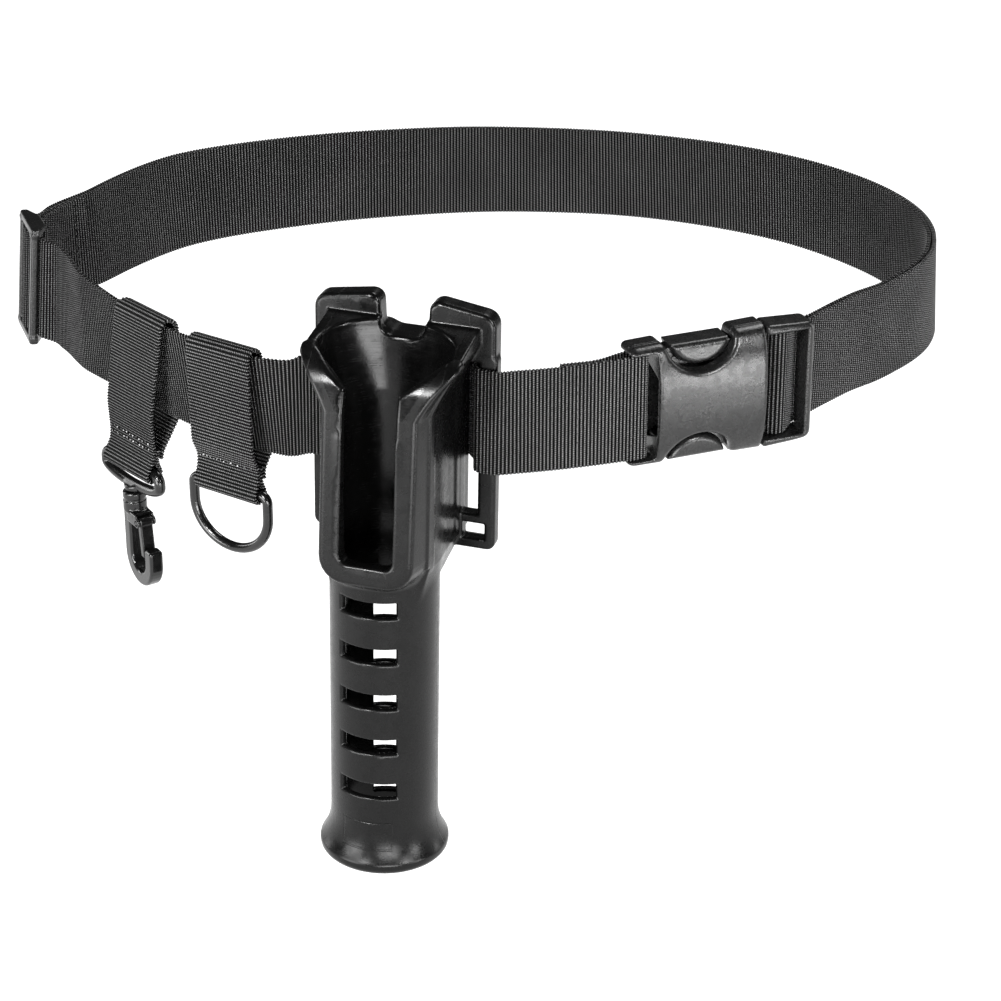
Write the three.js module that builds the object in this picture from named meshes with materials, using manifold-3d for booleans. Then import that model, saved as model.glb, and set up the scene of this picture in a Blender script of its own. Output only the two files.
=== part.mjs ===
// Fishing fighting belt: a webbing waist belt with a moulded rod holster, a side release buckle,
// a strap slider and two hanging loops, one with a D ring and one with a swivel snap hook.
// Millimetres, +Z up, -Y to the front. The origin is the middle of the waist loop at half webbing height.
import * as THREE from 'three';
import { mergeVertices } from 'three/addons/utils/BufferGeometryUtils.js';
import Module from 'manifold-3d';

const wasm = await Module();
wasm.setup();

// Fits between pieces
const gap = 0.35;
const layerGap = 0.5;

// Belt webbing and the waist loop that it makes
const webWidth = 38;
const webThick = 1.5;
const loopHalfWidth = 167;
const loopHalfDepth = 125;
const bandStep = 9;
const tailLength = 30;

// Rod holster, in its own frame: x to its right, -y outward, z up, the tube's axis at x = y = 0
const holsterFromBuckle = 79.2;
const holsterRoll = 1.05;
const holsterSag = 2.4;
const tubeRadius = 18.75;
const boreRadius = 16.25;
const tubeDrop = 160;
const flareRadius = 22.6;
const flareHeight = 20;
const rimHalf = 16.3;
const rimReach = 17;
const rimSlope = 0.088;
const rimBand = 7.1;
const rimDrop = 48;
const rimRound = 9;
const taperDrop = 66;
const bodyHalf = 20;
const bodyBack = 31;
const bodyRound = 3;
const armHalf = 27;
const armReach = 11;
const armStart = 12;
const armTop = 28.5;
const mouthTop = 33;
const creaseTop = 19.5;
const plateFace = 19.1;
const earHalf = 31.8;
const earTop = 40.7;
const earFall = 3.6;
const earThick = 8;
const earRound = 5;
const notchHalf = 7.6;
const notchFloor = 26.6;
const barHalf = 32.6;
const barThick = 5.5;
const barRound = 1.2;
const slotHalf = 26.3;
const slotPlay = 1.5;
const slotTop = webWidth / 2 + slotPlay;
const slotDrop = 35.5;
const tabDrop = 48.5;
const tabHoleHalf = 28.8;
const tabHoleTop = 39;
const tabHoleDrop = 44.7;
const ventTop = 53;
const ventPitch = 17.6;
const ventHeight = 5.6;
const ventHalfAngle = 32.3;
const ventCount = 5;

// Side release buckle, in its own frame: x from socket to plug, -y outward, the middle at x = y = 0
const buckleTurn = 22;
const buckleLength = 69.6;
const lugWall = 3.4;
const buckleHeight = webWidth + 2 * lugWall;
const buckleFront = 9.7;
const buckleBack = 5.6;
const buckleRound = 2.2;
const lugTaper = 1;
const seamFlare = 0.5;
const crownShare = 0.94;
const crownPower = 2.5;
const cavityHalf = 3.4;
const socketBarIn = 4.6;
const socketBarRadius = 2;
const socketBarLift = 1.5;
const socketSlot = 2.6;
const plugLength = 19;
const socketLength = buckleLength - plugLength;
const socketWall = 2;
const socketRim = 2.6;
const cutoutFromEnd = 26;
const cutoutHalf = 12.6;
const cutoutDepth = 11;
const plugWall = 3;
const plugHeight = webWidth + 2 * plugWall;
const plugFront = 6.2;
const plugBack = 4.5;
const plugBarIn = 12.2;
const plugBarRadius = 2.4;
const plugEndBar = 3.2;
const plugEndThick = 5;
const prongWidth = 7;
const padFront = 6;
const padBack = 4.4;
const padPlay = 1.8;
const padSink = 1.3;
const guideHalf = 4;

// Strap slider, its length along the belt
const sliderFromHolster = 194;
const sliderLength = 24;
const sliderRail = 3.2;
const sliderThick = 3;
const sliderEndBar = 3.4;
const sliderBarWidth = 3;
const sliderBarDrop = 3.4;
const sliderLift = 1.2;
const sliderPlay = 0.2;

// Hanging loops, D ring and swivel snap hook, their drops from half webbing height
const keeperWidth = 27.4;
const keeperThick = 1.5;
const keeperPlay = 1.7;
const ringTopPlay = 0.6;
const hookTopPlay = 1.4;
const ringHang = 0.75;
const hookHang = 1;
const foldPlay = 0.9;
const ringKeeperFromHolster = 64;
const ringDrop = 34.2;
const ringSwing = 0.9;
const ringWire = 3.6;
const ringSide = 8.5;
const ringHeight = 23.5;
const hookKeeperFromHolster = 101.5;
const hookDrop = 42;
const hookSwing = 14;
const eyeWire = 4;
const eyeSide = 4.2;
const eyeHeight = 8.2;
const hookFacing = -58;
const barrelRadius = 4.3;
const barrelHeight = 7.5;
const stemRadius = 1.7;
const stemHead = 2.7;
const stemHeadHeight = 2.2;
const hookDepth = 27.8;
const spineIn = 2.5;
const noseOut = 13.5;
const hookBar = 5.2;
const noseHeight = 16.4;
const shoulder = 4;
const gateThick = 2.6;
const gateWidth = 4.8;
const gatePivotOut = 7.6;
const gateKnuckle = 1.7;
const gateLap = 4;
const gatePin = 0.7;
const cheekThick = 0.9;

// Plan of the belt, clockwise from the buckle's socket: place as shares of the loop's half sizes,
// lift as a share of the webbing's width, lean of its top edge outward in degrees
const planRows = [
  { x: 0.308, y: -0.928, lift: 0.03, lean: 0 },
  { x: 0.228, y: -0.957, lift: 0.02, lean: 0 },
  { x: 0.114, y: -0.984, lift: 0, lean: 0 },
  { x: 0.045, y: -0.993, lift: 0, lean: 0 },
  { x: -0.150, y: -0.912, lift: 0, lean: 0 },
  { x: -0.345, y: -0.831, lift: -0.085, lean: 3 },
  { x: -0.410, y: -0.824, lift: -0.115, lean: 9 },
  { x: -0.515, y: -0.735, lift: -0.095, lean: 9 },
  { x: -0.620, y: -0.632, lift: -0.08, lean: 9 },
  { x: -0.716, y: -0.485, lift: -0.07, lean: 8 },
  { x: -0.810, y: -0.338, lift: -0.05, lean: 3 },
  { x: -0.925, y: -0.142, lift: -0.02, lean: -4 },
  { x: -1.002, y: 0.045, lift: 0.01, lean: -5 },
  { x: -0.982, y: 0.180, lift: 0, lean: -3 },
  { x: -0.907, y: 0.352, lift: 0, lean: 2 },
  { x: -0.830, y: 0.530, lift: 0, lean: 4 },
  { x: -0.725, y: 0.702, lift: 0, lean: 4 },
  { x: -0.587, y: 0.816, lift: 0, lean: 1 },
  { x: -0.395, y: 0.912, lift: 0, lean: -2 },
  { x: -0.204, y: 0.973, lift: 0, lean: -4 },
  { x: -0.006, y: 1.004, lift: 0, lean: -6 },
  { x: 0.192, y: 0.995, lift: 0, lean: -8 },
  { x: 0.389, y: 0.946, lift: 0, lean: -9 },
  { x: 0.581, y: 0.845, lift: 0, lean: -8 },
  { x: 0.765, y: 0.686, lift: 0, lean: -5 },
  { x: 0.925, y: 0.432, lift: 0, lean: -2 },
  { x: 0.995, y: 0.204, lift: 0, lean: -2 },
  { x: 1.005, y: 0.000, lift: 0, lean: -3 },
  { x: 0.967, y: -0.166, lift: -0.01, lean: 0 },
  { x: 0.862, y: -0.365, lift: 0, lean: 3 },
  { x: 0.780, y: -0.490, lift: 0.04, lean: 3 },
];

const up = new THREE.Vector3(0, 0, 1);
const rad = THREE.MathUtils.degToRad;

// Geometry helpers
function closedGeometry(vertices, faces) {
  const geometry = new THREE.BufferGeometry();
  geometry.setAttribute('position', new THREE.Float32BufferAttribute(vertices, 3));
  geometry.setIndex(faces);
  return geometry;
}

function toSolid(geometry) {
  const bare = geometry.clone();
  bare.deleteAttribute('normal');
  bare.deleteAttribute('uv');
  const merged = mergeVertices(bare, 1e-4);
  return new wasm.Manifold(new wasm.Mesh({
    numProp: 3,
    vertProperties: new Float32Array(merged.attributes.position.array),
    triVerts: new Uint32Array(merged.index.array),
  }));
}

function toGeometry(solid) {
  const mesh = solid.getMesh();
  return closedGeometry(Array.from(mesh.vertProperties), Array.from(mesh.triVerts));
}

function joined(solids) {
  return solids.reduce((whole, piece) => whole.add(piece));
}

function cut(solid, tools) {
  return tools.reduce((rest, tool) => rest.subtract(tool), solid);
}

function box(x0, x1, y0, y1, z0, z1) {
  const geometry = new THREE.BoxGeometry(x1 - x0, y1 - y0, z1 - z0);
  return toSolid(geometry.translate((x0 + x1) / 2, (y0 + y1) / 2, (z0 + z1) / 2));
}

// A round bar between two points
function rod(from, to, radius, sides = 16) {
  const start = new THREE.Vector3(...from);
  const end = new THREE.Vector3(...to);
  const along = end.clone().sub(start);
  const geometry = new THREE.CylinderGeometry(radius, radius, along.length(), sides);
  geometry.applyQuaternion(new THREE.Quaternion().setFromUnitVectors(
    new THREE.Vector3(0, 1, 0), along.clone().normalize()));
  const middle = start.add(end).multiplyScalar(0.5);
  return toSolid(geometry.translate(middle.x, middle.y, middle.z));
}

// Rounds the corners of an outline of rows [x, y, radius] with short arcs
function rounded(corners, steps = 4) {
  const outline = [];
  corners.forEach((corner, index) => {
    const [x, y, radius] = corner;
    const here = new THREE.Vector2(x, y);
    const before = corners[(index + corners.length - 1) % corners.length];
    const after = corners[(index + 1) % corners.length];
    const back = new THREE.Vector2(before[0], before[1]).sub(here).normalize();
    const on = new THREE.Vector2(after[0], after[1]).sub(here).normalize();
    const half = Math.acos(THREE.MathUtils.clamp(back.dot(on), -1, 1)) / 2;
    if (!radius) {
      outline.push(here);
      return;
    }
    const reach = radius / Math.tan(half);
    const centre = back.clone().add(on).normalize().multiplyScalar(radius / Math.sin(half)).add(here);
    const start = back.clone().multiplyScalar(reach).add(here).sub(centre);
    const end = on.clone().multiplyScalar(reach).add(here).sub(centre);
    const sweep = Math.atan2(start.cross(end), start.dot(end));
    for (let step = 0; step <= steps; step += 1) {
      outline.push(start.clone().rotateAround(new THREE.Vector2(), (sweep * step) / steps).add(centre));
    }
  });
  return outline;
}

// Plate cut to an outline in x and z, between two depths, with softened edges
function plate(outline, y0, y1, soften = 0) {
  const shape = new THREE.Shape(outline);
  const geometry = new THREE.ExtrudeGeometry(shape, {
    depth: y1 - y0 - 2 * soften,
    bevelEnabled: soften > 0,
    bevelThickness: soften,
    bevelSize: soften,
    bevelOffset: -soften,
    bevelSegments: 2,
    steps: 1,
  });
  geometry.translate(0, 0, -(y1 - soften));
  return toSolid(geometry.rotateX(Math.PI / 2));
}

// Skin through outlines of equal point count, each at its own height
function loft(sections) {
  const count = sections[0].outline.length;
  const vertices = [];
  const faces = [];
  sections.forEach((section) => section.outline.forEach((point) => {
    vertices.push(point.x, point.y, section.z + (section.rise ? section.rise(point) : 0));
  }));
  for (let level = 0; level + 1 < sections.length; level += 1) {
    for (let index = 0; index < count; index += 1) {
      const a = level * count + index;
      const b = level * count + ((index + 1) % count);
      faces.push(a, b, b + count, a, b + count, a + count);
    }
  }
  // Each end closes with a fan around its middle
  const last = (sections.length - 1) * count;
  [0, last].forEach((start) => {
    const hub = vertices.length / 3;
    for (let axis = 0; axis < 3; axis += 1) {
      let total = 0;
      for (let index = 0; index < count; index += 1) {
        total += vertices[(start + index) * 3 + axis];
      }
      vertices.push(total / count);
    }
    for (let index = 0; index < count; index += 1) {
      const a = start + index;
      const b = start + ((index + 1) % count);
      faces.push(...(start === 0 && hub === last + count ? [b, a, hub] : [a, b, hub]));
    }
  });
  return toSolid(closedGeometry(vertices, faces));
}

// Flat band swept through stations, each with a middle, a direction across and one through
function band(stations, width, thick) {
  const vertices = [];
  const faces = [];
  stations.forEach(({ middle, across, through }) => {
    [[-1, -1], [1, -1], [1, 1], [-1, 1]].forEach(([side, face]) => {
      const corner = middle.clone()
        .addScaledVector(across, (side * width) / 2)
        .addScaledVector(through, (face * thick) / 2);
      vertices.push(corner.x, corner.y, corner.z);
    });
  });
  for (let row = 0; row + 1 < stations.length; row += 1) {
    for (let side = 0; side < 4; side += 1) {
      const a = row * 4 + side;
      const b = row * 4 + ((side + 1) % 4);
      faces.push(a, b + 4, b, a, a + 4, b + 4);
    }
  }
  const last = (stations.length - 1) * 4;
  faces.push(0, 1, 2, 0, 2, 3);
  faces.push(last + 2, last + 1, last, last + 3, last + 2, last);
  return closedGeometry(vertices, faces);
}

// Round wire along a closed route
function wireRing(points, radius, sides = 10) {
  const vertices = [];
  const faces = [];
  const count = points.length;
  const flat = new THREE.Plane().setFromCoplanarPoints(points[0], points[Math.floor(count / 3)],
    points[Math.floor((2 * count) / 3)]).normal;
  points.forEach((point, index) => {
    const along = points[(index + 1) % count].clone().sub(points[(index + count - 1) % count]).normalize();
    const side = flat.clone().cross(along).normalize();
    for (let step = 0; step < sides; step += 1) {
      const angle = (2 * Math.PI * step) / sides;
      const skin = point.clone()
        .addScaledVector(side, radius * Math.cos(angle))
        .addScaledVector(flat, radius * Math.sin(angle));
      vertices.push(skin.x, skin.y, skin.z);
    }
  });
  for (let row = 0; row < count; row += 1) {
    for (let step = 0; step < sides; step += 1) {
      const a = row * sides + step;
      const b = row * sides + ((step + 1) % sides);
      const c = ((row + 1) % count) * sides + ((step + 1) % sides);
      const d = ((row + 1) % count) * sides + step;
      faces.push(a, b, c, a, c, d);
    }
  }
  return closedGeometry(vertices, faces);
}

// Where things lie on the belt

// Half a layer and its play: how far a strap's middle stays off what it lies on
const strapOff = gap + webThick / 2;
const layerPitch = webThick + layerGap;
const socketBarX = -buckleLength / 2 + socketBarIn;
const plugBarX = buckleLength / 2 - plugBarIn;
const socketSlotEnd = socketBarX + socketBarRadius + socketSlot;
const cavityStart = socketSlotEnd + socketWall;
const socketWrap = socketBarRadius + strapOff;
const plugWrap = plugBarRadius + strapOff;
const plugUnder = -(plugEndThick / 2 + strapOff);

function planPoint(row) {
  return new THREE.Vector3(row.x * loopHalfWidth, row.y * loopHalfDepth, 0);
}

// The buckle hangs on the start of the belt and ends where the belt's far end goes under its frame
const buckleAlong = new THREE.Vector3(Math.cos(rad(buckleTurn)), Math.sin(rad(buckleTurn)), 0);
const buckleOut = new THREE.Vector3(Math.sin(rad(buckleTurn)), -Math.cos(rad(buckleTurn)), 0);
const buckleMiddle = planPoint(planRows[0])
  .addScaledVector(buckleAlong, -(socketBarX - socketBarIn + webThick))
  .addScaledVector(buckleOut, -(socketBarLift + socketWrap))
  .setZ(planRows[0].lift * webWidth);

function bucklePoint(along, out) {
  const at = buckleMiddle.clone().addScaledVector(buckleAlong, along).addScaledVector(buckleOut, out);
  return { at, across: up };
}

const beltEnd = bucklePoint(buckleLength / 2, plugUnder).at.setZ(0);
const planCurve = new THREE.CatmullRomCurve3([...planRows.map(planPoint), beltEnd], false, 'centripetal');
planCurve.arcLengthDivisions = 1500;
const planLength = planCurve.getLength();
const poseCurve = new THREE.CatmullRomCurve3(
  [...planRows, planRows[planRows.length - 1]].map((row) => new THREE.Vector3(row.lift, row.lean, 0)),
  false,
  'catmullrom',
  0.5,
);

// Frame of the belt at a length along it from the socket
function beltFrame(length) {
  const share = THREE.MathUtils.clamp(length / planLength, 0, 1);
  const along = planCurve.getTangentAt(share);
  const out = new THREE.Vector3(-along.y, along.x, 0);
  const pose = poseCurve.getPoint(planCurve.getUtoTmapping(share));
  const lean = rad(pose.y);
  const across = up.clone().multiplyScalar(Math.cos(lean)).addScaledVector(out, Math.sin(lean));
  const middle = planCurve.getPointAt(share);
  middle.z = pose.x * webWidth;
  return { middle, along, out, across };
}

function beltPoint(length, out) {
  const frame = beltFrame(length);
  return { at: frame.middle.addScaledVector(frame.out, out), across: frame.across };
}

// The holster's frame follows the belt where it is threaded
const holsterSeat = beltFrame(holsterFromBuckle);
const holsterTurn = Math.atan2(-holsterSeat.along.y, -holsterSeat.along.x);
const holsterPlace = new THREE.Matrix4().makeRotationZ(holsterTurn)
  .multiply(new THREE.Matrix4().makeRotationY(rad(holsterRoll)));
const holsterSide = new THREE.Vector3().setFromMatrixColumn(holsterPlace, 0);
const holsterUp = new THREE.Vector3().setFromMatrixColumn(holsterPlace, 2);
const holsterBack = new THREE.Vector3().setFromMatrixColumn(holsterPlace, 1);
const holsterMiddle = holsterSeat.middle.clone().addScaledVector(holsterBack, -(plateFace - strapOff));
holsterPlace.setPosition(holsterMiddle);

// A strap point beside the holster: to its right, and outward from the plate's face. The strap
// sinks towards the holster's left
function holsterPoint(right, out) {
  const at = holsterMiddle.clone()
    .addScaledVector(holsterSide, right)
    .addScaledVector(holsterBack, plateFace - out)
    .addScaledVector(holsterUp, holsterSag * Math.min(0, right / barHalf));
  return { at, across: holsterUp };
}

// Points on an arc around (x, y), from one angle to another in degrees
function arc(x, y, radius, from, to, steps) {
  return Array.from({ length: steps + 1 }, (unused, index) => {
    const angle = rad(from + ((to - from) * index) / steps);
    return [x + radius * Math.cos(angle), y + radius * Math.sin(angle)];
  });
}

// Smooth stations through chosen strap points
function stationsThrough(points) {
  const curve = new THREE.CatmullRomCurve3(points.map((point) => point.at), false, 'centripetal');
  const spans = points.length - 1;
  const stations = [];
  for (let span = 0; span < spans; span += 1) {
    const reach = points[span].at.distanceTo(points[span + 1].at);
    const steps = Math.max(1, Math.round(reach / bandStep));
    for (let step = 0; step < steps + (span === spans - 1 ? 1 : 0); step += 1) {
      const share = (span + step / steps) / spans;
      const along = curve.getTangent(share);
      const across = points[span].across.clone().lerp(points[span + 1].across, step / steps).normalize();
      const through = across.clone().cross(along).normalize();
      stations.push({ middle: curve.getPoint(share), across, through });
    }
  }
  return stations;
}

// Main strap

// The strap's way through the holster's slots and behind its body, right side then left
function holsterPass() {
  const radius = barRound + strapOff;
  const backRadius = bodyRound + strapOff;
  const behind = -(bodyBack - plateFace);
  const half = [
    [barHalf + 0.6, strapOff + 0.1],
    [slotHalf + barRound + 1.5, strapOff],
    ...arc(slotHalf + barRound, -barRound, radius, 90, 180, 3),
    [slotHalf - strapOff - 0.2, -barThick + 0.4],
    ...arc(bodyHalf - bodyRound, behind + bodyRound, backRadius + 0.15, -25, -90, 3),
  ];
  const middle = [[0, behind - strapOff - 0.15]];
  const mirrored = half.map(([right, out]) => [-right, out]).reverse();
  return [...half, ...middle, ...mirrored].map(([right, out]) => holsterPoint(right, out));
}

const sliderAt = holsterFromBuckle + sliderFromHolster;
const sliderEndX = sliderLength / 2 - sliderEndBar / 2;
const sliderUnder = sliderLift - sliderThick / 2 - strapOff - sliderPlay;
const sliderBarOut = sliderLift - sliderBarDrop;
const sliderBarTop = sliderBarOut + sliderThick / 2 + strapOff;
const sliderStack = webThick + gap;

const sliderSeat = beltFrame(sliderAt);
const sliderOut = sliderSeat.across.clone().cross(sliderSeat.along).normalize();

function sliderPoint(along, out) {
  const at = sliderSeat.middle.clone()
    .addScaledVector(sliderSeat.along, along)
    .addScaledVector(sliderOut, out);
  return { at, across: sliderSeat.across };
}

function sliderPass() {
  const over = sliderBarTop + sliderStack;
  return [
    beltPoint(sliderAt - sliderEndX - 9, -0.3),
    ...[
      [-sliderEndX - 3, sliderUnder],
      [-sliderEndX + 1, sliderUnder],
      [-sliderEndX / 2, (sliderUnder + over) / 2],
      [-1.5, over],
      [1.5, over],
      [sliderEndX / 2, (sliderUnder + over) / 2],
      [sliderEndX - 1, sliderUnder],
      [sliderEndX + 3, sliderUnder],
    ].map(([along, out]) => sliderPoint(along, out)),
    beltPoint(sliderAt + sliderEndX + 9, -0.3),
  ];
}

function beltRun(from, to, out, step = 14) {
  const count = Math.max(2, Math.round(Math.abs(to - from) / step));
  return Array.from({ length: count + 1 }, (unused, index) => (
    beltPoint(from + ((to - from) * index) / count, out)));
}

function mainStrapPoints() {
  const socketTail = [
    ...beltRun(tailLength, 12, -layerPitch, 9),
    bucklePoint(socketBarX - 5, socketBarLift - socketWrap + 0.9),
    ...arc(socketBarX, socketBarLift, socketWrap, -90, 90, 6).map(([x, y]) => bucklePoint(x, y)),
  ];
  const front = beltRun(2, holsterFromBuckle - barHalf - 7, 0);
  const left = beltRun(holsterFromBuckle + barHalf + 7, sliderAt - sliderEndX - 14, 0);
  const back = beltRun(sliderAt + sliderEndX + 16, planLength - 4, 0);
  const plugTurn = [
    bucklePoint(buckleLength / 2 + 0.5, plugUnder),
    bucklePoint(buckleLength / 2 - plugEndBar - 0.4, plugUnder),
    bucklePoint(plugBarX + plugWrap + 2.4, -1.1),
    bucklePoint(plugBarX + plugWrap - 0.2, 1.7),
    ...arc(plugBarX, 0, plugWrap, 70, 270, 7).map(([x, y]) => bucklePoint(x, y)),
    bucklePoint(plugBarX + plugWrap + 1, -plugWrap - 0.9),
    bucklePoint(buckleLength / 2 - plugEndBar, plugUnder - layerPitch),
  ];
  const inner = beltRun(planLength - 4, sliderAt + sliderEndX + 16, -layerPitch);
  const sliderTurn = [
    [sliderEndX + 3, sliderUnder - sliderStack],
    [sliderEndX - 1, sliderUnder - sliderStack],
    [sliderEndX / 2, (sliderUnder - sliderStack + sliderBarTop) / 2],
    ...arc(0, sliderBarOut, sliderThick / 2 + strapOff, 70, 270, 7),
    [sliderEndX, sliderUnder - 2 * sliderStack],
  ].map(([along, out]) => sliderPoint(along, out));
  const tail = beltRun(sliderAt + sliderEndX + 10, sliderAt + sliderEndX + tailLength, -2 * layerPitch, 10);
  return [
    ...socketTail, ...front, ...holsterPass(), ...left, ...sliderPass(), ...back,
    ...plugTurn, ...inner, ...sliderTurn, ...tail,
  ];
}

function mainStrap() {
  return band(stationsThrough(mainStrapPoints()), webWidth, webThick);
}

// Slider: two rails, two end bars and a lower middle bar
function slider() {
  const height = webWidth / 2 + gap;
  const low = sliderBarOut - sliderThick / 2;
  const high = sliderLift + sliderThick / 2;
  const rail = (side) => {
    const outline = rounded([
      [-sliderLength / 2, sliderLift - sliderThick / 2, 1],
      [-sliderBarWidth * 1.6, low, 1.5],
      [sliderBarWidth * 1.6, low, 1.5],
      [sliderLength / 2, sliderLift - sliderThick / 2, 1],
      [sliderLength / 2, high, 1.2],
      [-sliderLength / 2, high, 1.2],
    ], 2);
    const z0 = side > 0 ? height : -height - sliderRail;
    const solid = loft([{ outline, z: z0 }, { outline, z: z0 + sliderRail }]);
    return solid;
  };
  const bars = [-sliderEndX, sliderEndX].map((x) => box(
    x - sliderEndBar / 2, x + sliderEndBar / 2, sliderLift - sliderThick / 2, high, -height - 1, height + 1));
  const middle = rod([0, sliderBarOut, -height - 1], [0, sliderBarOut, height + 1], sliderThick / 2);
  return toGeometry(joined([rail(1), rail(-1), ...bars, middle]));
}

// Rod holster

// Outline of the body at one height: the plate side behind, the rim in front
function bodyOutline(backHalf, frontHalf, reach, back) {
  return rounded([
    [-backHalf, back, bodyRound],
    [-backHalf, back - 8, 1],
    [-(backHalf + frontHalf) / 2 - 0.8, -reach * 0.45, 6],
    [-frontHalf, -reach, 1.5],
    [frontHalf, -reach, 1.5],
    [(backHalf + frontHalf) / 2 + 0.8, -reach * 0.45, 6],
    [backHalf, back - 8, 1],
    [backHalf, back, bodyRound],
  ], 3);
}

function rimReachAt(height) {
  return rimReach - rimSlope * height;
}

// The tube with its flared open foot
function tubeSolid() {
  const profile = [
    [0, -tubeDrop],
    [flareRadius - 1.5, -tubeDrop],
    [flareRadius, -tubeDrop + 1.5],
    [flareRadius - 0.4, -tubeDrop + 3.5],
    [tubeRadius + 1.6, -tubeDrop + flareHeight * 0.4],
    [tubeRadius + 0.5, -tubeDrop + flareHeight * 0.7],
    [tubeRadius, -tubeDrop + flareHeight],
    [tubeRadius, 0],
    [0, 0],
  ].map(([radius, height]) => new THREE.Vector2(radius, height));
  return toSolid(new THREE.LatheGeometry(profile, 36).rotateX(Math.PI / 2));
}

// The body between the plate and the rim, its taper into the tube below and its arms above
function bodySolid() {
  const low = -rimDrop + rimRound * 0.5;
  const taper = loft([
    {
      outline: bodyOutline(tubeRadius * 0.62, tubeRadius * 0.45, tubeRadius * 0.86, tubeRadius * 0.6),
      z: -taperDrop,
    },
    { outline: bodyOutline(bodyHalf, rimHalf, tubeRadius * 0.9, bodyBack), z: -rimDrop + 4 },
    { outline: bodyOutline(bodyHalf, rimHalf, tubeRadius * 0.9, bodyBack), z: low + 12 },
  ]);
  const straight = loft([
    { outline: bodyOutline(bodyHalf, rimHalf, rimReachAt(low), bodyBack), z: low },
    { outline: bodyOutline(bodyHalf, rimHalf, rimReachAt(armStart), bodyBack), z: armStart },
    { outline: bodyOutline(armHalf, armHalf - 0.5, armReach, plateFace + 2), z: armTop - 1 },
    { outline: bodyOutline(armHalf, armHalf - 0.5, armReach, plateFace + 2), z: mouthTop + 6 },
  ]);
  // The mouth slopes down to the front
  const fall = (mouthTop - armTop) / (plateFace + armReach);
  const slope = loft([0, 20].map((z) => ({
    outline: rounded([[-40, -40, 0], [40, -40, 0], [40, plateFace, 0], [-40, plateFace, 0]]),
    z: mouthTop + z,
    rise: (point) => (z ? 0 : fall * (point.y - plateFace)),
  })));
  return taper.add(straight.subtract(slope));
}

// The rim's round lower end stands out over the tube
function rimFoot() {
  const outline = rounded([
    [-rimHalf, -rimDrop, rimRound],
    [rimHalf, -rimDrop, rimRound],
    [rimHalf, -rimDrop + 16, 0],
    [-rimHalf, -rimDrop + 16, 0],
  ], 5);
  const front = plate(outline, -rimReachAt(-rimDrop), -tubeRadius * 0.5);
  const slope = loft([-rimDrop - 5, armStart].map((z) => ({
    outline: rounded([[-30, -40, 0], [30, -40, 0], [30, -rimReachAt(z), 0], [-30, -rimReachAt(z), 0]]),
    z,
  })));
  return front.subtract(slope);
}

// Back plate: ears with the notch between them, side bars around the belt slots, lower tabs
function plateSolid() {
  const ears = plate(rounded([
    [-earHalf, slotTop, 0],
    [earHalf, slotTop, 0],
    [earHalf, earTop - earFall, earRound],
    [notchHalf + 1, earTop, earRound - 1],
    [notchHalf, notchFloor, 0],
    [-notchHalf, notchFloor, 0],
    [-notchHalf - 1, earTop, earRound - 1],
    [-earHalf, earTop - earFall, earRound],
  ], 4), plateFace, plateFace + earThick);
  const coreTop = plate(rounded([
    [-bodyHalf - 1, -rimDrop + 4, 0],
    [bodyHalf + 1, -rimDrop + 4, 0],
    [bodyHalf + 1, slotTop + 4, 3],
    [notchHalf + 2, notchFloor + 2, 2],
    [-notchHalf - 2, notchFloor + 2, 2],
    [-bodyHalf - 1, slotTop + 4, 3],
  ], 2), plateFace - 3, bodyBack + 1);
  const core = loft([-rimDrop, earTop + 5].map((z) => ({
    outline: rounded([
      [-bodyHalf, bodyBack, bodyRound],
      [-bodyHalf, plateFace - 2, 0],
      [bodyHalf, plateFace - 2, 0],
      [bodyHalf, bodyBack, bodyRound],
    ], 3),
    z,
  }))).intersect(coreTop);
  const frame = plate(rounded([
    [-barHalf, -tabDrop, 3],
    [barHalf, -tabDrop, 3],
    [barHalf, slotTop + 3, 2.5],
    [-barHalf, slotTop + 3, 2.5],
  ], 3), plateFace, plateFace + barThick);
  const notch = plate(rounded([
    [-notchHalf, notchFloor, 4.5],
    [notchHalf, notchFloor, 4.5],
    [notchHalf + 1, earTop + 20, 0],
    [-notchHalf - 1, earTop + 20, 0],
  ], 4), plateFace - 3, bodyBack + 1);
  const slots = [-1, 1].map((side) => plate(rounded([
    [Math.min(side * bodyHalf, side * slotHalf), -slotDrop, 2],
    [Math.max(side * bodyHalf, side * slotHalf), -slotDrop, 2],
    [Math.max(side * bodyHalf, side * slotHalf), slotTop, 1],
    [Math.min(side * bodyHalf, side * slotHalf), slotTop, 1],
  ], 3), plateFace - 1, bodyBack + 1));
  const tabHoles = [-1, 1].map((side) => plate(rounded([
    [Math.min(side * (bodyHalf + 1), side * tabHoleHalf), -tabHoleDrop, 1.5],
    [Math.max(side * (bodyHalf + 1), side * tabHoleHalf), -tabHoleDrop, 1.5],
    [Math.max(side * (bodyHalf + 1), side * tabHoleHalf), -tabHoleTop, 1.5],
    [Math.min(side * (bodyHalf + 1), side * tabHoleHalf), -tabHoleTop, 1.5],
  ], 2), plateFace - 1, bodyBack + 1));
  // The front edge of each bar is rounded where the belt turns over it
  const edges = [-1, 1].map((side) => box(
    side * slotHalf - barRound, side * slotHalf + barRound, plateFace - 1, plateFace + barRound,
    -slotDrop + 3, slotTop - 1,
  ).subtract(rod(
    [side * (slotHalf + barRound), plateFace + barRound, -slotDrop],
    [side * (slotHalf + barRound), plateFace + barRound, slotTop],
    barRound,
  )));
  return { solid: cut(joined([ears, core, frame]), [...slots, ...tabHoles, ...edges]), notch };
}

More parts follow.
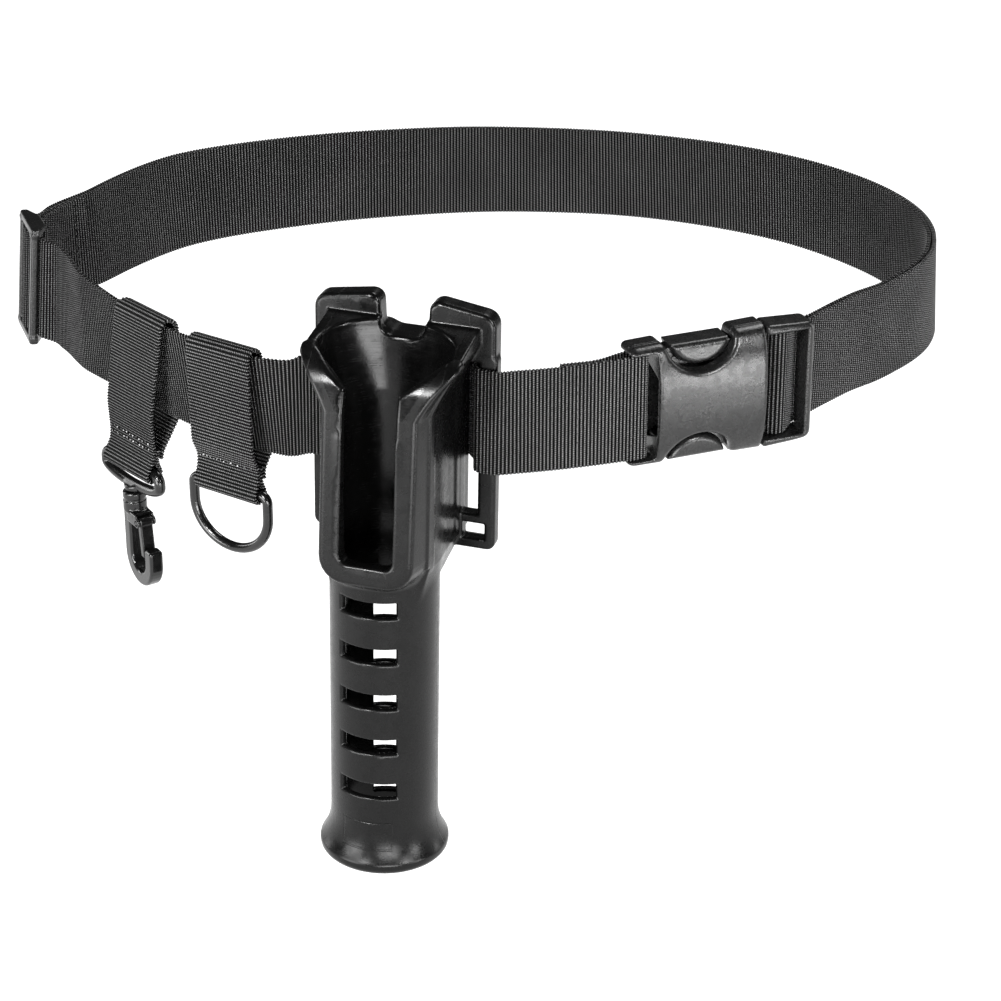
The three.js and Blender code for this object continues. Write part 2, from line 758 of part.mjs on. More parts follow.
// The bore, the open front, the widening mouth and the vents
function holsterCuts() {
  const bore = rod([0, 0, -tubeDrop - 5], [0, 0, mouthTop + 20], boreRadius, 36);
  const inner = rimHalf - rimBand;
  const open = plate(rounded([
    [-inner, -rimDrop + rimBand, 3],
    [inner, -rimDrop + rimBand, 3],
    [inner, creaseTop, 0],
    [armHalf - 4, armTop + 1.5, 0],
    [armHalf - 4, mouthTop + 20, 0],
    [-armHalf + 4, mouthTop + 20, 0],
    [-armHalf + 4, armTop + 1.5, 0],
    [-inner, creaseTop, 0],
  ], 3), -60, -2);
  const ring = (halfWidth, front, back, count = 36) => Array.from({ length: count }, (unused, index) => {
    const angle = (2 * Math.PI * index) / count;
    const y = Math.sin(angle);
    return new THREE.Vector2(halfWidth * Math.cos(angle), y > 0 ? back * y : front * y);
  });
  const mouth = loft([
    { outline: ring(boreRadius, boreRadius, boreRadius), z: -4 },
    { outline: ring(boreRadius + 1.2, boreRadius - 1, boreRadius), z: 8 },
    { outline: ring(boreRadius + 4.6, boreRadius - 4, plateFace - 2), z: 20 },
    { outline: ring(armHalf - 3.5, armReach - 2, plateFace - 1), z: armTop + 1 },
    { outline: ring(armHalf - 2.5, armReach - 1.5, plateFace - 0.6), z: mouthTop + 12 },
  ]);
  const vents = Array.from({ length: ventCount }, (unused, index) => {
    const top = -ventTop - index * ventPitch;
    const reach = flareRadius + 5;
    const half = Math.tan(rad(ventHalfAngle)) * reach;
    const wedge = loft([top - ventHeight, top].map((z) => ({
      outline: [
        new THREE.Vector2(0, -3), new THREE.Vector2(half, -reach), new THREE.Vector2(-half, -reach),
      ].reverse(),
      z,
    })));
    const opposite = loft([top - ventHeight - ventPitch, top - ventPitch].map((z) => ({
      outline: [new THREE.Vector2(0, 3), new THREE.Vector2(half, reach), new THREE.Vector2(-half, reach)],
      z,
    })));
    return wedge.add(opposite);
  });
  return [bore, open, mouth, ...vents];
}

function rodHolster() {
  const { solid, notch } = plateSolid();
  const body = joined([tubeSolid(), bodySolid(), rimFoot(), solid]);
  return toGeometry(cut(body, [...holsterCuts(), notch]));
}

// Buckle socket: two lugs and a bar for the belt, then a hollow body with a cut-out above and below
function buckleSocket() {
  const left = -buckleLength / 2;
  const right = left + socketLength;
  const half = buckleHeight / 2;
  const body = plate(rounded([
    [left, -half + lugTaper, buckleRound + 1],
    [right, -half - seamFlare, buckleRound + 0.5],
    [right, half + seamFlare, buckleRound + 0.5],
    [left, half - lugTaper, buckleRound + 1],
  ], 3), -buckleFront, buckleBack, buckleRound);
  const crown = loft([left - 1, right + 1].map((z) => ({ outline: crownOutline(half + seamFlare), z })))
    .rotate([0, 90, 0]);
  const window = plate(rounded([
    [left - 5, -webWidth / 2 - gap, 0],
    [socketSlotEnd, -webWidth / 2 - gap, 0.8],
    [socketSlotEnd, webWidth / 2 + gap, 0.8],
    [left - 5, webWidth / 2 + gap, 0],
  ], 3), -buckleFront - 1, buckleBack + 1);
  const cavity = box(cavityStart, right + 1, -cavityHalf, cavityHalf, -half + socketRim, half - socketRim);
  const cutouts = [-1, 1].map((side) => plate(
    cutoutOutline(side, 0), -buckleFront - 1, buckleBack + 1));
  const bar = rod(
    [socketBarX, -socketBarLift, -half + 2], [socketBarX, -socketBarLift, half - 2], socketBarRadius);
  return toGeometry(cut(body.intersect(crown).subtract(window).add(bar), [cavity, ...cutouts]));
}

// The front bulges and falls away to the top and bottom edges, the back is flat
function crownOutline(half) {
  const bow = (share) => (1 - Math.abs(crownShare * share) ** crownPower) ** (1 / crownPower);
  const shares = [-1.05, -0.97, -0.86, -0.72, -0.5, -0.2, 0.2, 0.5, 0.72, 0.86, 0.97, 1.05];
  return [
    ...shares.map((share) => new THREE.Vector2(share * half, -buckleFront * bow(share))),
    new THREE.Vector2(half * 1.05, buckleBack),
    new THREE.Vector2(-half * 1.05, buckleBack),
  ];
}

// Half round cut-out at the top or bottom edge, inset for what fills it
function cutoutOutline(side, inset) {
  const x = -buckleLength / 2 + cutoutFromEnd;
  const half = cutoutHalf - inset;
  const depth = cutoutDepth - inset;
  const edge = (buckleHeight / 2) * side;
  const bow = arc(0, 0, 1, 180, 360, 10).map(([share, dip]) => (
    new THREE.Vector2(x + share * half, edge + dip * depth * side)));
  const lid = [new THREE.Vector2(x + half, edge + 3 * side), new THREE.Vector2(x - half, edge + 3 * side)];
  const outline = [...bow, ...lid];
  return side > 0 ? outline : outline.reverse();
}

// Buckle plug: a frame with the adjusting bar, two prongs in the socket and a guide between them
function bucklePlug() {
  const right = buckleLength / 2;
  const seam = -buckleLength / 2 + socketLength;
  const half = plugHeight / 2;
  const window = webWidth / 2 + gap;
  const inside = cavityHalf - gap;
  const reach = buckleHeight / 2 - socketRim - gap;
  const frame = plate(rounded([
    [seam + gap, -half - seamFlare, 1.4],
    [right, -half + seamFlare, 3],
    [right, half - seamFlare, 3],
    [seam + gap, half + seamFlare, 1.4],
  ], 3), -plugFront, plugBack, 1.2);
  const opening = box(seam - 1, right - plugEndBar, -plugFront - 1, plugBack + 1, -window, window);
  const endLow = plate(rounded([
    [right - plugEndBar - 0.1, -window + 0.1, 0],
    [right + 1, -window + 0.1, 0],
    [right + 1, window - 0.1, 0],
    [right - plugEndBar - 0.1, window - 0.1, 0],
  ]), plugEndThick / 2, plugBack + 1);
  const bar = rod([plugBarX, 0, -window - 1], [plugBarX, 0, window + 1], plugBarRadius);
  const base = box(seam - 7, seam - 1.2, -inside, inside, -reach, reach);
  const necks = [-1, 1].map((side) => box(seam - 2, seam + 2, -inside, inside,
    Math.min(side * window, side * reach), Math.max(side * window, side * reach)));
  const tip = cavityStart + gap;
  const prongs = [-1, 1].map((side) => {
    const near = side * (reach - prongWidth);
    const far = side * reach;
    const arm = box(tip, seam - 5, -inside, inside, Math.min(near, far), Math.max(near, far));
    const pad = plate(cutoutOutline(side, padPlay), -padFront, padBack);
    const lid = buckleHeight / 2 - padSink;
    const trim = box(-right, right, -buckleFront, buckleFront, -lid, lid);
    return arm.add(pad.intersect(trim));
  });
  const guide = box(tip + 6, seam - 5, -inside * 0.7, inside * 0.7, -guideHalf, guideHalf);
  const solid = frame.subtract(opening).subtract(endLow);
  return toGeometry(joined([solid, bar, base, ...necks, ...prongs, guide]));
}

// Hanging loops

// A loop spans the belt straight across, so its frame follows the chord under its width
function loopFrame(length) {
  const frame = beltFrame(length);
  const near = beltFrame(length - keeperWidth / 2).middle;
  const far = beltFrame(length + keeperWidth / 2).middle;
  const along = far.clone().sub(near).setZ(0).normalize();
  const out = new THREE.Vector3(-along.y, along.x, 0);
  const lean = Math.atan2(frame.across.dot(frame.out), frame.across.z);
  const across = up.clone().multiplyScalar(Math.cos(lean)).addScaledVector(out, Math.sin(lean));
  const chord = near.add(far).multiplyScalar(0.5).setZ(frame.middle.z);
  return { middle: frame.middle.lerp(chord, 0.5), along, out, across };
}

// A point of a loop, z from half webbing height along the leaning belt, or straight down from its
// top edge where plumb is 1
function loopPoint(frame, out, z, plumb, swing, drop) {
  const low = webWidth / 2;
  const leaning = frame.across.clone().multiplyScalar(Math.max(z, -low))
    .addScaledVector(up, Math.min(0, z + low));
  const hanging = frame.across.clone().multiplyScalar(low).addScaledVector(up, z - low);
  const reach = THREE.MathUtils.clamp((low - z) / (low + drop), 0, 1);
  return frame.middle.clone()
    .add(leaning.lerp(hanging, plumb))
    .addScaledVector(frame.out, out)
    .addScaledVector(frame.along, swing * reach);
}

// A loop's hanging end: x along the belt, y outward, z up, at the middle of what its fold holds
function hangingFrame(length, drop, swing, hang) {
  const frame = loopFrame(length);
  return new THREE.Matrix4().makeBasis(frame.along, frame.out, up)
    .setPosition(loopPoint(frame, 0, -drop, hang, swing, drop));
}

// Webbing over the belt, sewn together below it, with a fold that holds a wire
function keeper(length, drop, wire, swing, hang, topPlay) {
  const frame = loopFrame(length);
  const front = webThick / 2 + gap + keeperPlay + keeperThick / 2;
  const top = webWidth / 2 + gap + topPlay + keeperThick / 2;
  const half = keeperThick / 2 + gap / 2;
  const fold = wire / 2 + gap + keeperThick / 2;
  const seam = drop - fold - 5;
  const low = webWidth / 2;
  const rows = [
    { out: -3 * half, z: -seam - 2.5, plumb: 1 },
    { out: -3 * half, z: -seam + 1, plumb: 0.95 },
    { out: -front - 0.15, z: -low + 1, plumb: 0.05 },
    { out: -front, z: -low + 8, plumb: 0 },
    { out: -front, z: low - 4, plumb: 0 },
    ...arc(0, top - front, front, 180, 0, 6).map(([out, z]) => ({ out, z, plumb: 0 })),
    { out: front, z: low - 4, plumb: 0.8 },
    { out: front, z: -low + 8, plumb: 1 },
    { out: front - 0.1, z: -low + 1, plumb: 1 },
    { out: half, z: -seam + 2, plumb: 1 },
    { out: half, z: -seam - 2, plumb: 1 },
    ...arc(0, -drop, fold, 40, -220, 9).map(([out, z]) => ({ out, z, plumb: 1 })),
    { out: -half, z: -seam - 2, plumb: 1 },
    { out: -half, z: -seam + 2.5, plumb: 1 },
  ];
  const points = rows.map(({ out, z, plumb }) => ({
    at: loopPoint(frame, out, z, plumb * hang, swing, drop),
    across: frame.along,
  }));
  return band(stationsThrough(points), keeperWidth, keeperThick);
}

// Closed wire with a straight bar on top, straight sides and a round lower end
function wireLoop(half, side, height, wire, sides) {
  const corner = wire * 0.7;
  const points = [
    ...arc(half - corner, -corner, corner, 90, 0, 3),
    ...arc(0, 0, 1, 0, -180, 14).map(([x, z]) => [x * half, -side + z * (height - side)]),
    ...arc(-half + corner, -corner, corner, 180, 90, 3),
  ];
  return wireRing(points.map(([x, z]) => new THREE.Vector3(x, 0, z)), wire / 2, sides);
}

function dRing() {
  return wireLoop(keeperWidth / 2 + foldPlay + ringWire / 2, ringSide, ringHeight, ringWire, 10);
}

// Swivel snap hook, z from the middle of the eye's bar, x from spine to nose
const barrelTop = -eyeHeight - eyeWire / 2 - gap;
const barrelBottom = barrelTop - barrelHeight;
const headTop = barrelTop - 2.6;
const pivotZ = barrelBottom - gateKnuckle - 0.6;

function hookEye() {
  const half = keeperWidth / 2 + foldPlay + eyeWire / 2;
  const loop = toSolid(wireLoop(half, eyeSide, eyeHeight, eyeWire, 10));
  const boss = rod([0, 0, -eyeHeight], [0, 0, barrelTop + gap], barrelRadius - 0.8);
  const stem = rod([0, 0, -eyeHeight], [0, 0, headTop - 0.5], stemRadius);
  const head = rod([0, 0, headTop], [0, 0, headTop - stemHeadHeight], stemHead);
  return toGeometry(joined([loop, boss, stem, head]));
}

function hookBody() {
  const bottom = barrelBottom - hookDepth;
  const noseTop = bottom + noseHeight;
  const half = hookBar / 2;
  const left = -spineIn;
  const hookRound = (noseOut + spineIn) / 2;
  const hook = plate(rounded([
    [left - half, barrelBottom + 0.5, 0],
    [left - half, bottom, hookRound + half - 0.1],
    [noseOut + half, bottom, hookRound + half - 0.1],
    [noseOut + half, noseTop, 1.4],
    [noseOut - half, noseTop, 1.4],
    [noseOut - half, bottom + hookBar, hookRound - half - 0.1],
    [left + half, bottom + hookBar, hookRound - half - 0.1],
    [left + half, barrelBottom + 0.5, 0],
  ], 6), -half, half, 0.7);
  const cheekOut = gateWidth / 2 + gap + cheekThick;
  const block = box(0, gatePivotOut - gateKnuckle - gap, -cheekOut, cheekOut,
    barrelBottom - shoulder, barrelBottom + 0.5);
  const cheeks = [-1, 1].map((side) => {
    const near = side * (gateWidth / 2 + gap);
    const far = side * cheekOut;
    const web = box(0, gatePivotOut, Math.min(near, far), Math.max(near, far),
      barrelBottom - shoulder, barrelBottom + 0.5);
    return web.add(rod([gatePivotOut, near, pivotZ], [gatePivotOut, far, pivotZ], gateKnuckle + 0.1, 20));
  });
  const barrel = rod([0, 0, barrelTop], [0, 0, barrelBottom - 0.5], barrelRadius, 24);
  const stemHole = rod([0, 0, barrelTop + 1], [0, 0, headTop - 1], stemRadius + gap);
  const headRoom = rod([0, 0, headTop + gap], [0, 0, headTop - stemHeadHeight - gap], stemHead + gap);
  const holeEnd = cheekOut + 1;
  const pinHole = rod([gatePivotOut, -holeEnd, pivotZ], [gatePivotOut, holeEnd, pivotZ], gatePin + gap);
  const knuckleRoom = box(gatePivotOut - gateKnuckle - gap, gatePivotOut + 6, -gateWidth / 2 - gap,
    gateWidth / 2 + gap, barrelBottom - shoulder - 5, pivotZ + gateKnuckle + gap);
  return toGeometry(cut(joined([barrel, block, ...cheeks]), [knuckleRoom]).add(hook)
    .subtract(stemHole).subtract(headRoom).subtract(pinHole));
}

function hookGate() {
  const bottom = barrelBottom - hookDepth;
  const tipZ = bottom + noseHeight - gateLap;
  const tipX = noseOut - hookBar / 2 - gap - gateThick / 2;
  const half = gateThick / 2;
  const leaf = plate(rounded([
    [gatePivotOut - half, pivotZ, 0],
    [tipX - half, tipZ, 0.8],
    [tipX + half, tipZ, 0.8],
    [gatePivotOut + half, pivotZ, 0],
  ], 3), -gateWidth / 2, gateWidth / 2);
  const side = gateWidth / 2;
  const knuckle = rod([gatePivotOut, -side, pivotZ], [gatePivotOut, side, pivotZ], gateKnuckle, 20);
  const pinHalf = side + gap + cheekThick;
  const pin = rod([gatePivotOut, -pinHalf, pivotZ], [gatePivotOut, pinHalf, pivotZ], gatePin);
  return toGeometry(joined([leaf, knuckle, pin]));
}

// The finished belt
const webbing = new THREE.MeshStandardMaterial({ color: 0x1b1b1d, roughness: 0.85, metalness: 0 });
const moulding = new THREE.MeshStandardMaterial({ color: 0x141416, roughness: 0.4, metalness: 0 });
const acetal = new THREE.MeshStandardMaterial({ color: 0x1d1d20, roughness: 0.5, metalness: 0 });
const group = new THREE.Group();

function place(name, geometry, material, matrix = new THREE.Matrix4()) {
  const mesh = new THREE.Mesh(geometry, material);
  mesh.name = name;
  mesh.applyMatrix4(matrix);
  group.add(mesh);
}

const sliderPlace = new THREE.Matrix4()
  .makeBasis(sliderSeat.along, sliderOut, sliderSeat.across)
  .setPosition(sliderSeat.middle);
const bucklePlace = new THREE.Matrix4().makeRotationZ(rad(buckleTurn)).setPosition(buckleMiddle);
const ringKeeperAt = holsterFromBuckle + ringKeeperFromHolster;
const hookKeeperAt = holsterFromBuckle + hookKeeperFromHolster;
const ringPlace = hangingFrame(ringKeeperAt, ringDrop, ringSwing, ringHang);
const eyePlace = hangingFrame(hookKeeperAt, hookDrop, hookSwing, hookHang);
const hookPlace = new THREE.Matrix4().makeRotationZ(rad(hookFacing)).copyPosition(eyePlace);

place('main_strap', mainStrap(), webbing);
place('slider', slider(), acetal, sliderPlace);
place('rod_holster', rodHolster(), moulding, holsterPlace);
place('buckle_socket', buckleSocket(), acetal, bucklePlace);
place('buckle_plug', bucklePlug(), acetal, bucklePlace);
place('ring_keeper', keeper(ringKeeperAt, ringDrop, ringWire, ringSwing, ringHang, ringTopPlay),
  webbing);
place('d_ring', dRing(), acetal, ringPlace);
place('hook_keeper', keeper(hookKeeperAt, hookDrop, eyeWire, hookSwing, hookHang, hookTopPlay),
  webbing);
place('hook_eye', hookEye(), acetal, eyePlace);
place('hook_body', hookBody(), acetal, hookPlace);
place('hook_gate', hookGate(), acetal, hookPlace);

export default group;
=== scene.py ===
import math

import bpy
import numpy as np
import openvdb as vdb
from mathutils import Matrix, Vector


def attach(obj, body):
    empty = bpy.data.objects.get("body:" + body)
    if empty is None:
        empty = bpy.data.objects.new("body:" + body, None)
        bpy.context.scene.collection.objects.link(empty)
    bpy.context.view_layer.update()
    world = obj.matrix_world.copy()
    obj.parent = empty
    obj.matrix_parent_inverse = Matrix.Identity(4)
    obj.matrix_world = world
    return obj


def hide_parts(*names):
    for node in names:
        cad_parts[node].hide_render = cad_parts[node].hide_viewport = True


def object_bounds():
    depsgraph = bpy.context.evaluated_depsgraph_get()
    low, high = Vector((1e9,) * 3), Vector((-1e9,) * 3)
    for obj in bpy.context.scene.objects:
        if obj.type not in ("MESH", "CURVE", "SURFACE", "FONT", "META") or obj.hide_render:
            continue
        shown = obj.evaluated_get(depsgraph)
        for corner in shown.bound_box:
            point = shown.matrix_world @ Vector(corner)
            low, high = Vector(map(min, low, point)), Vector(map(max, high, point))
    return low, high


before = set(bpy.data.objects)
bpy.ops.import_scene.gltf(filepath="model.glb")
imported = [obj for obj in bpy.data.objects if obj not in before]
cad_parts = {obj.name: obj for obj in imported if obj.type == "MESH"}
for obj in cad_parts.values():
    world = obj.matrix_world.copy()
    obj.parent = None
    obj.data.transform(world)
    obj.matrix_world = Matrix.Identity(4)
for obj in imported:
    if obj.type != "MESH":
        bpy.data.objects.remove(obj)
cad_box = [list(corner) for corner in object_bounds()]

MM = 0.001

# Where the hard pieces sit: their x, y and z axes and their origin
PLACES = {
    "holster": [
        (0.9544, -0.2979, -0.0183), (0.2979, 0.9546, 0), (0.0175, -0.0055, 0.9998),
        (-30.634, -131.1137, -0.0112),
    ],
    "buckle": [(0.9272, 0.3746, 0), (-0.3746, 0.9272, 0), (0, 0, 1), (80.588, -99.2606, 1.14)],
    "slider": [
        (-0.1542, 0.988, 0), (-0.9843, -0.1536, 0.0872), (0.0861, 0.0134, 0.9962),
        (-167.3326, 5.6159, 0.3798),
    ],
    "ring": [
        (-0.8234, 0.5674, 0), (-0.5674, -0.8234, 0), (0, 0, 1), (-86.2414, -93.5578, -37.9857),
    ],
    "eye": [(-0.656, 0.7547, 0), (-0.7547, -0.656, 0), (0, 0, 1), (-124.2546, -59.8411, -45.0581)],
    "hook": [(0.5299, -0.848, 0), (0.848, 0.5299, 0), (0, 0, 1), (-124.2546, -59.8411, -45.0581)],
}
GAP = 0.35  # clearance between moulded parts that fit together
RIB = 1.25  # pitch of the webbing's ribs

# The slider and the strap through it are turned a little towards the front
TURN, TURN_NEAR, TURN_FAR = math.radians(10), 14, 50
TURN_SHIFT = (0.8, 0, 0)


# Distance fields: negative inside, x, y and z broadcast against each other
def both(a, b, r):
    """What two fields share, its edge rounded by r."""
    near = np.sqrt(np.maximum(a + r, 0) ** 2 + np.maximum(b + r, 0) ** 2) - r
    return np.where((a > -r) & (b > -r), near, np.maximum(a, b))


def joined(a, b, r):
    """Two fields as one, the corner between them filled by r."""
    return -both(-a, -b, r)


def without(a, b, r):
    """The first field less the second, the new edge rounded by r."""
    return both(a, -b, r)


def between(value, low, high):
    """The slab from low to high."""
    return np.abs(value - (low + high) / 2) - (high - low) / 2


def rounded(corners, steps=6):
    """The points of an outline of rows (x, y, radius), its corners rounded by arcs."""
    points = []
    for index, (x, y, radius) in enumerate(corners):
        here = np.array((x, y), float)
        if not radius:
            points.append(here)
            continue
        back = np.array(corners[index - 1][:2], float) - here
        on = np.array(corners[(index + 1) % len(corners)][:2], float) - here
        back /= np.linalg.norm(back)
        on /= np.linalg.norm(on)
        half = math.acos(float(np.clip(back @ on, -1, 1))) / 2
        reach = radius / math.tan(half)
        middle = back + on
        middle = here + middle / np.linalg.norm(middle) * radius / math.sin(half)
        start, end = here + back * reach - middle, here + on * reach - middle
        sweep = math.atan2(start[0] * end[1] - start[1] * end[0], start @ end)
        for step in range(steps + 1):
            turn = sweep * step / steps
            c, s = math.cos(turn), math.sin(turn)
            points.append(middle + (c * start[0] - s * start[1], s * start[0] + c * start[1]))
    return points


def outline(corners, u, v, steps=6):
    """Distance to an outline in the plane of u and v."""
    points = rounded(corners, steps)
    nearest = None
    inside = None
    for index, p in enumerate(points):
        q = points[(index + 1) % len(points)]
        ex, ey = q[0] - p[0], q[1] - p[1]
        wx, wy = u - p[0], v - p[1]
        t = np.clip((wx * ex + wy * ey) / (ex * ex + ey * ey + 1e-12), 0, 1)
        far = (wx - ex * t) ** 2 + (wy - ey * t) ** 2
        above = (p[1] <= v) & (q[1] > v) & (ex * wy - ey * wx > 0)
        below = (p[1] > v) & (q[1] <= v) & (ex * wy - ey * wx < 0)
        crossing = above.astype(np.int8) - below.astype(np.int8)
        nearest = far if nearest is None else np.minimum(nearest, far)
        inside = crossing if inside is None else inside + crossing
    return np.sqrt(nearest) * np.where(inside != 0, -1, 1)


def slanted(u, v, start, end):
    """Distance to the line from start, at the greater v, to end, positive on its far side in u."""
    (u1, v1), (u2, v2) = start, end
    du, dv = u1 - u2, v1 - v2
    return ((u - u1) * dv - (v - v1) * du) / np.sqrt(du * du + dv * dv)


def tube_along(points, radius, x, y, z):
    """Distance to a round wire along a route in the plane of x and z."""
    nearest = None
    for p, q in zip(points[:-1], points[1:]):
        ex, ez = q[0] - p[0], q[1] - p[1]
        wx, wz = x - p[0], z - p[1]
        t = np.clip((wx * ex + wz * ez) / (ex * ex + ez * ez + 1e-12), 0, 1)
        far = (wx - ex * t) ** 2 + (wz - ez * t) ** 2
        nearest = far if nearest is None else np.minimum(nearest, far)
    return np.sqrt(nearest + y * y) - radius


def turned(points, spin_only=False, at=None):
    """Points, or directions at given points, turned about the slider's middle."""
    points = np.asarray(points, float)
    at = points if at is None else at
    middle = np.array(PLACES["slider"][3])
    offset = at[:, :2] - middle[:2]
    part = np.clip((TURN_FAR - np.linalg.norm(offset, axis=1)) / (TURN_FAR - TURN_NEAR), 0, 1)
    part = part * part * (3 - 2 * part)
    c, s = np.cos(TURN * part), np.sin(TURN * part)
    start = points if spin_only else points - middle
    x, y, z = start.T
    moved = np.stack([c * x - s * y, s * x + c * y, z], 1)
    return moved if spin_only else moved + middle + part[:, None] * np.array(TURN_SHIFT)


# Meshes
def make_mesh(name, points, faces, body, material, marks, normals=None):
    """A piece from points in millimetres, with the marks that its material reads."""
    mesh = bpy.data.meshes.new(name)
    mesh.from_pydata((np.asarray(points) * MM).tolist(), [], faces)
    for key, values in marks.items():
        layer = mesh.attributes.new(key, "FLOAT_VECTOR", "POINT")
        layer.data.foreach_set("vector", np.asarray(values, np.float32).ravel())
    mesh.shade_smooth()
    if normals is not None:
        mesh.normals_split_custom_set_from_vertices(normals.tolist())
    mesh.materials.append(material)
    obj = bpy.data.objects.new(name, mesh)
    bpy.context.scene.collection.objects.link(obj)
    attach(obj, body)
    return obj


FIELD_REACH = 3  # grid steps on each side of the surface that a field keeps
FIELD_MERGE = 0.002  # how readily the mesher joins flat neighbours
SLOPE_SHIFT = 0.6  # grid steps to each side when the slope is taken
MOST_DRAWN = 0.15  # grid steps that a point may move onto the surface
TINY = 1e-9


def sampled(field, at):
    """The field's values between its grid points."""
    top = np.array(field.shape) - 2
    base = np.clip(np.floor(at).astype(int), 0, top)
    part = at - base
    total = 0
    for corner in range(8):
        step = np.array([corner & 1, (corner >> 1) & 1, corner >> 2])
        weight = np.prod(np.where(step, part, 1 - part), axis=1)
        i, j, k = (base + step).T
        total = total + field[i, j, k] * weight
    return total


def field_slope(field, at):
    """How the field grows along each axis, from one shifted point to the other."""
    slope = []
    for axis in range(3):
        shift = np.zeros(3)
        shift[axis] = SLOPE_SHIFT
        slope.append(sampled(field, at + shift) - sampled(field, at - shift))
    return np.array(slope).T


def carve(name, node, place, low, high, step, shape, body, material):
    """Builds a hard piece from its distance field, in place of its CAD node."""
    axes = [np.arange(a, b + step, step, dtype=np.float32) for a, b in zip(low, high)]
    x, y, z = np.meshgrid(*axes, indexing="ij", sparse=True)
    size = tuple(len(axis) for axis in axes)
    field = np.ascontiguousarray(np.broadcast_to(shape(x, y, z), size), dtype=np.float32)
    limit = FIELD_REACH * step
    field = np.clip(field, -limit, limit)
    volume = vdb.FloatGrid(background=limit)
    volume.copyFromArray(field)
    points, triangles, quads = volume.convertToPolygons(isovalue=0.0, adaptivity=FIELD_MERGE)
    faces = triangles.tolist() + quads.tolist()
    slope = field_slope(field, points)
    steep = np.linalg.norm(slope, axis=1)
    height = sampled(field, points) * 2 * SLOPE_SHIFT / (steep + 1e-6)
    slope /= steep[:, None] + TINY
    points = points - slope * np.clip(height, -MOST_DRAWN, MOST_DRAWN)[:, None]
    slope = field_slope(field, points)
    slope /= np.linalg.norm(slope, axis=1)[:, None] + TINY
    first = points[np.array(faces[0][:3])]
    turn = np.cross(first[1] - first[0], first[2] - first[0])
    if turn @ slope[faces[0][0]] < 0:
        faces = [face[::-1] for face in faces]
    local = np.array(low) + points * step
    *basis, origin = PLACES[place]
    basis = np.array(basis)
    points, normals = local @ basis + origin, slope @ basis
    if place == "slider":
        points, normals = turned(points), turned(normals, True, points)
    obj = make_mesh(name, points, faces, body, material, {"local": local}, normals)
    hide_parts(node)


# Rod holster: x to its right, -y outward, the tube's axis at x = y = 0
TUBE, BORE, TUBE_LOW = 18.75, 16.25, -160
RIM_HALF, RIM_LOW = 16.3, -48
OPENING_HALF, CREASE = 9.2, 19.5  # the open front, and the height where it starts to widen
ARMS_LOW = 12  # where the arms start to spread
PLATE = 19.1  # the back plate's front face
EAR_HALF, NOTCH_HALF = 31.8, 7.6
VENT_PITCH, VENT_HALF, VENTS = 17.6, 2.8, 5
VENT_TOPS = ((-1, -55), (1, -72.6))  # facing front or back, and the top of the first vent


def holster_body(x, y, z, side, reach, rise, top):
    """The body behind the rim, from its taper into the tube up to its arms."""
    taper = np.clip((z + 66) / 22, 0, 1)
    back_half = 11.6 + 8.4 * taper + 7 * rise
    mid_half = 10.8 + 8.15 * taper + 8.6 * rise
    back = 11.25 + 19.75 * taper - 9.9 * rise
    front = np.where(z < -43.5, 16.1 + 0.8 * taper, reach)
    flank = slanted(side, y, (back_half, back - 8), (mid_half, -0.45 * front))
    flank = both(flank, side - back_half, 1)
    body = both(flank, y - back, np.where(z < ARMS_LOW, 3, 1.2))
    body = both(body, both(-y - 0.45 * front - 1.5, top, 4), 0.4)
    return body * np.where(z < -44, 0.75, 1)


def holster_rim(x, y, z, side, reach, rise, top):
    """The flange around the open front: a round lower end, straight sides and spread arms."""
    foot = outline([
        (-RIM_HALF, RIM_LOW, 9), (RIM_HALF, RIM_LOW, 9), (RIM_HALF, 90, 0), (-RIM_HALF, 90, 0),
    ], x, z)
    wide = np.where(z < ARMS_LOW, foot, side - (RIM_HALF + 10.2 * rise))
    flare = 2.65 - 1.6 * rise
    wall = slanted(wide, y, (flare, -0.45 * reach), (0, -reach))
    rim = both(wall, both(-y - reach, top, 8), 1.4)
    return both(rim, y + 6 - 4 * rise, 0.4)


def holster_plate(x, y, z, side):
    """The back plate: ears, side bars around the slots, lower tabs and the core behind the tube."""
    ears = outline([
        (-EAR_HALF, 16, 0), (EAR_HALF, 16, 0), (EAR_HALF, 37.1, 5), (8.6, 40.7, 4),
        (NOTCH_HALF, 24, 0), (-NOTCH_HALF, 24, 0), (-8.6, 40.7, 4), (-EAR_HALF, 37.1, 5),
    ], x, z)
    ears = both(ears, between(y, PLATE, PLATE + 8), 1.6)
    bars = outline([
        (-32.6, -48.5, 3), (32.6, -48.5, 3), (32.6, 23.5, 2.5), (-32.6, 23.5, 2.5),
    ], x, z)
    bars = both(bars, between(y, PLATE, PLATE + 5.5), 1)
    core = outline([
        (-21, -44, 0), (21, -44, 0), (21, 24.5, 3), (9.6, 28.6, 2), (-9.6, 28.6, 2), (-21, 24.5, 3),
    ], x, z)
    core = both(both(core, side - 20, 1), between(y, 14, 31), 3)
    slot = both(between(side, 20, 26.3), between(z, -35.5, 20.5), 0.01)
    hole = both(between(side, 21, 28.8), between(z, -44.7, -39), 0.01)
    frame_part = without(joined(ears, bars, 0.6), slot, 1)
    frame_part = without(frame_part, hole, 0.9)
    return joined(frame_part, core, 0.8)


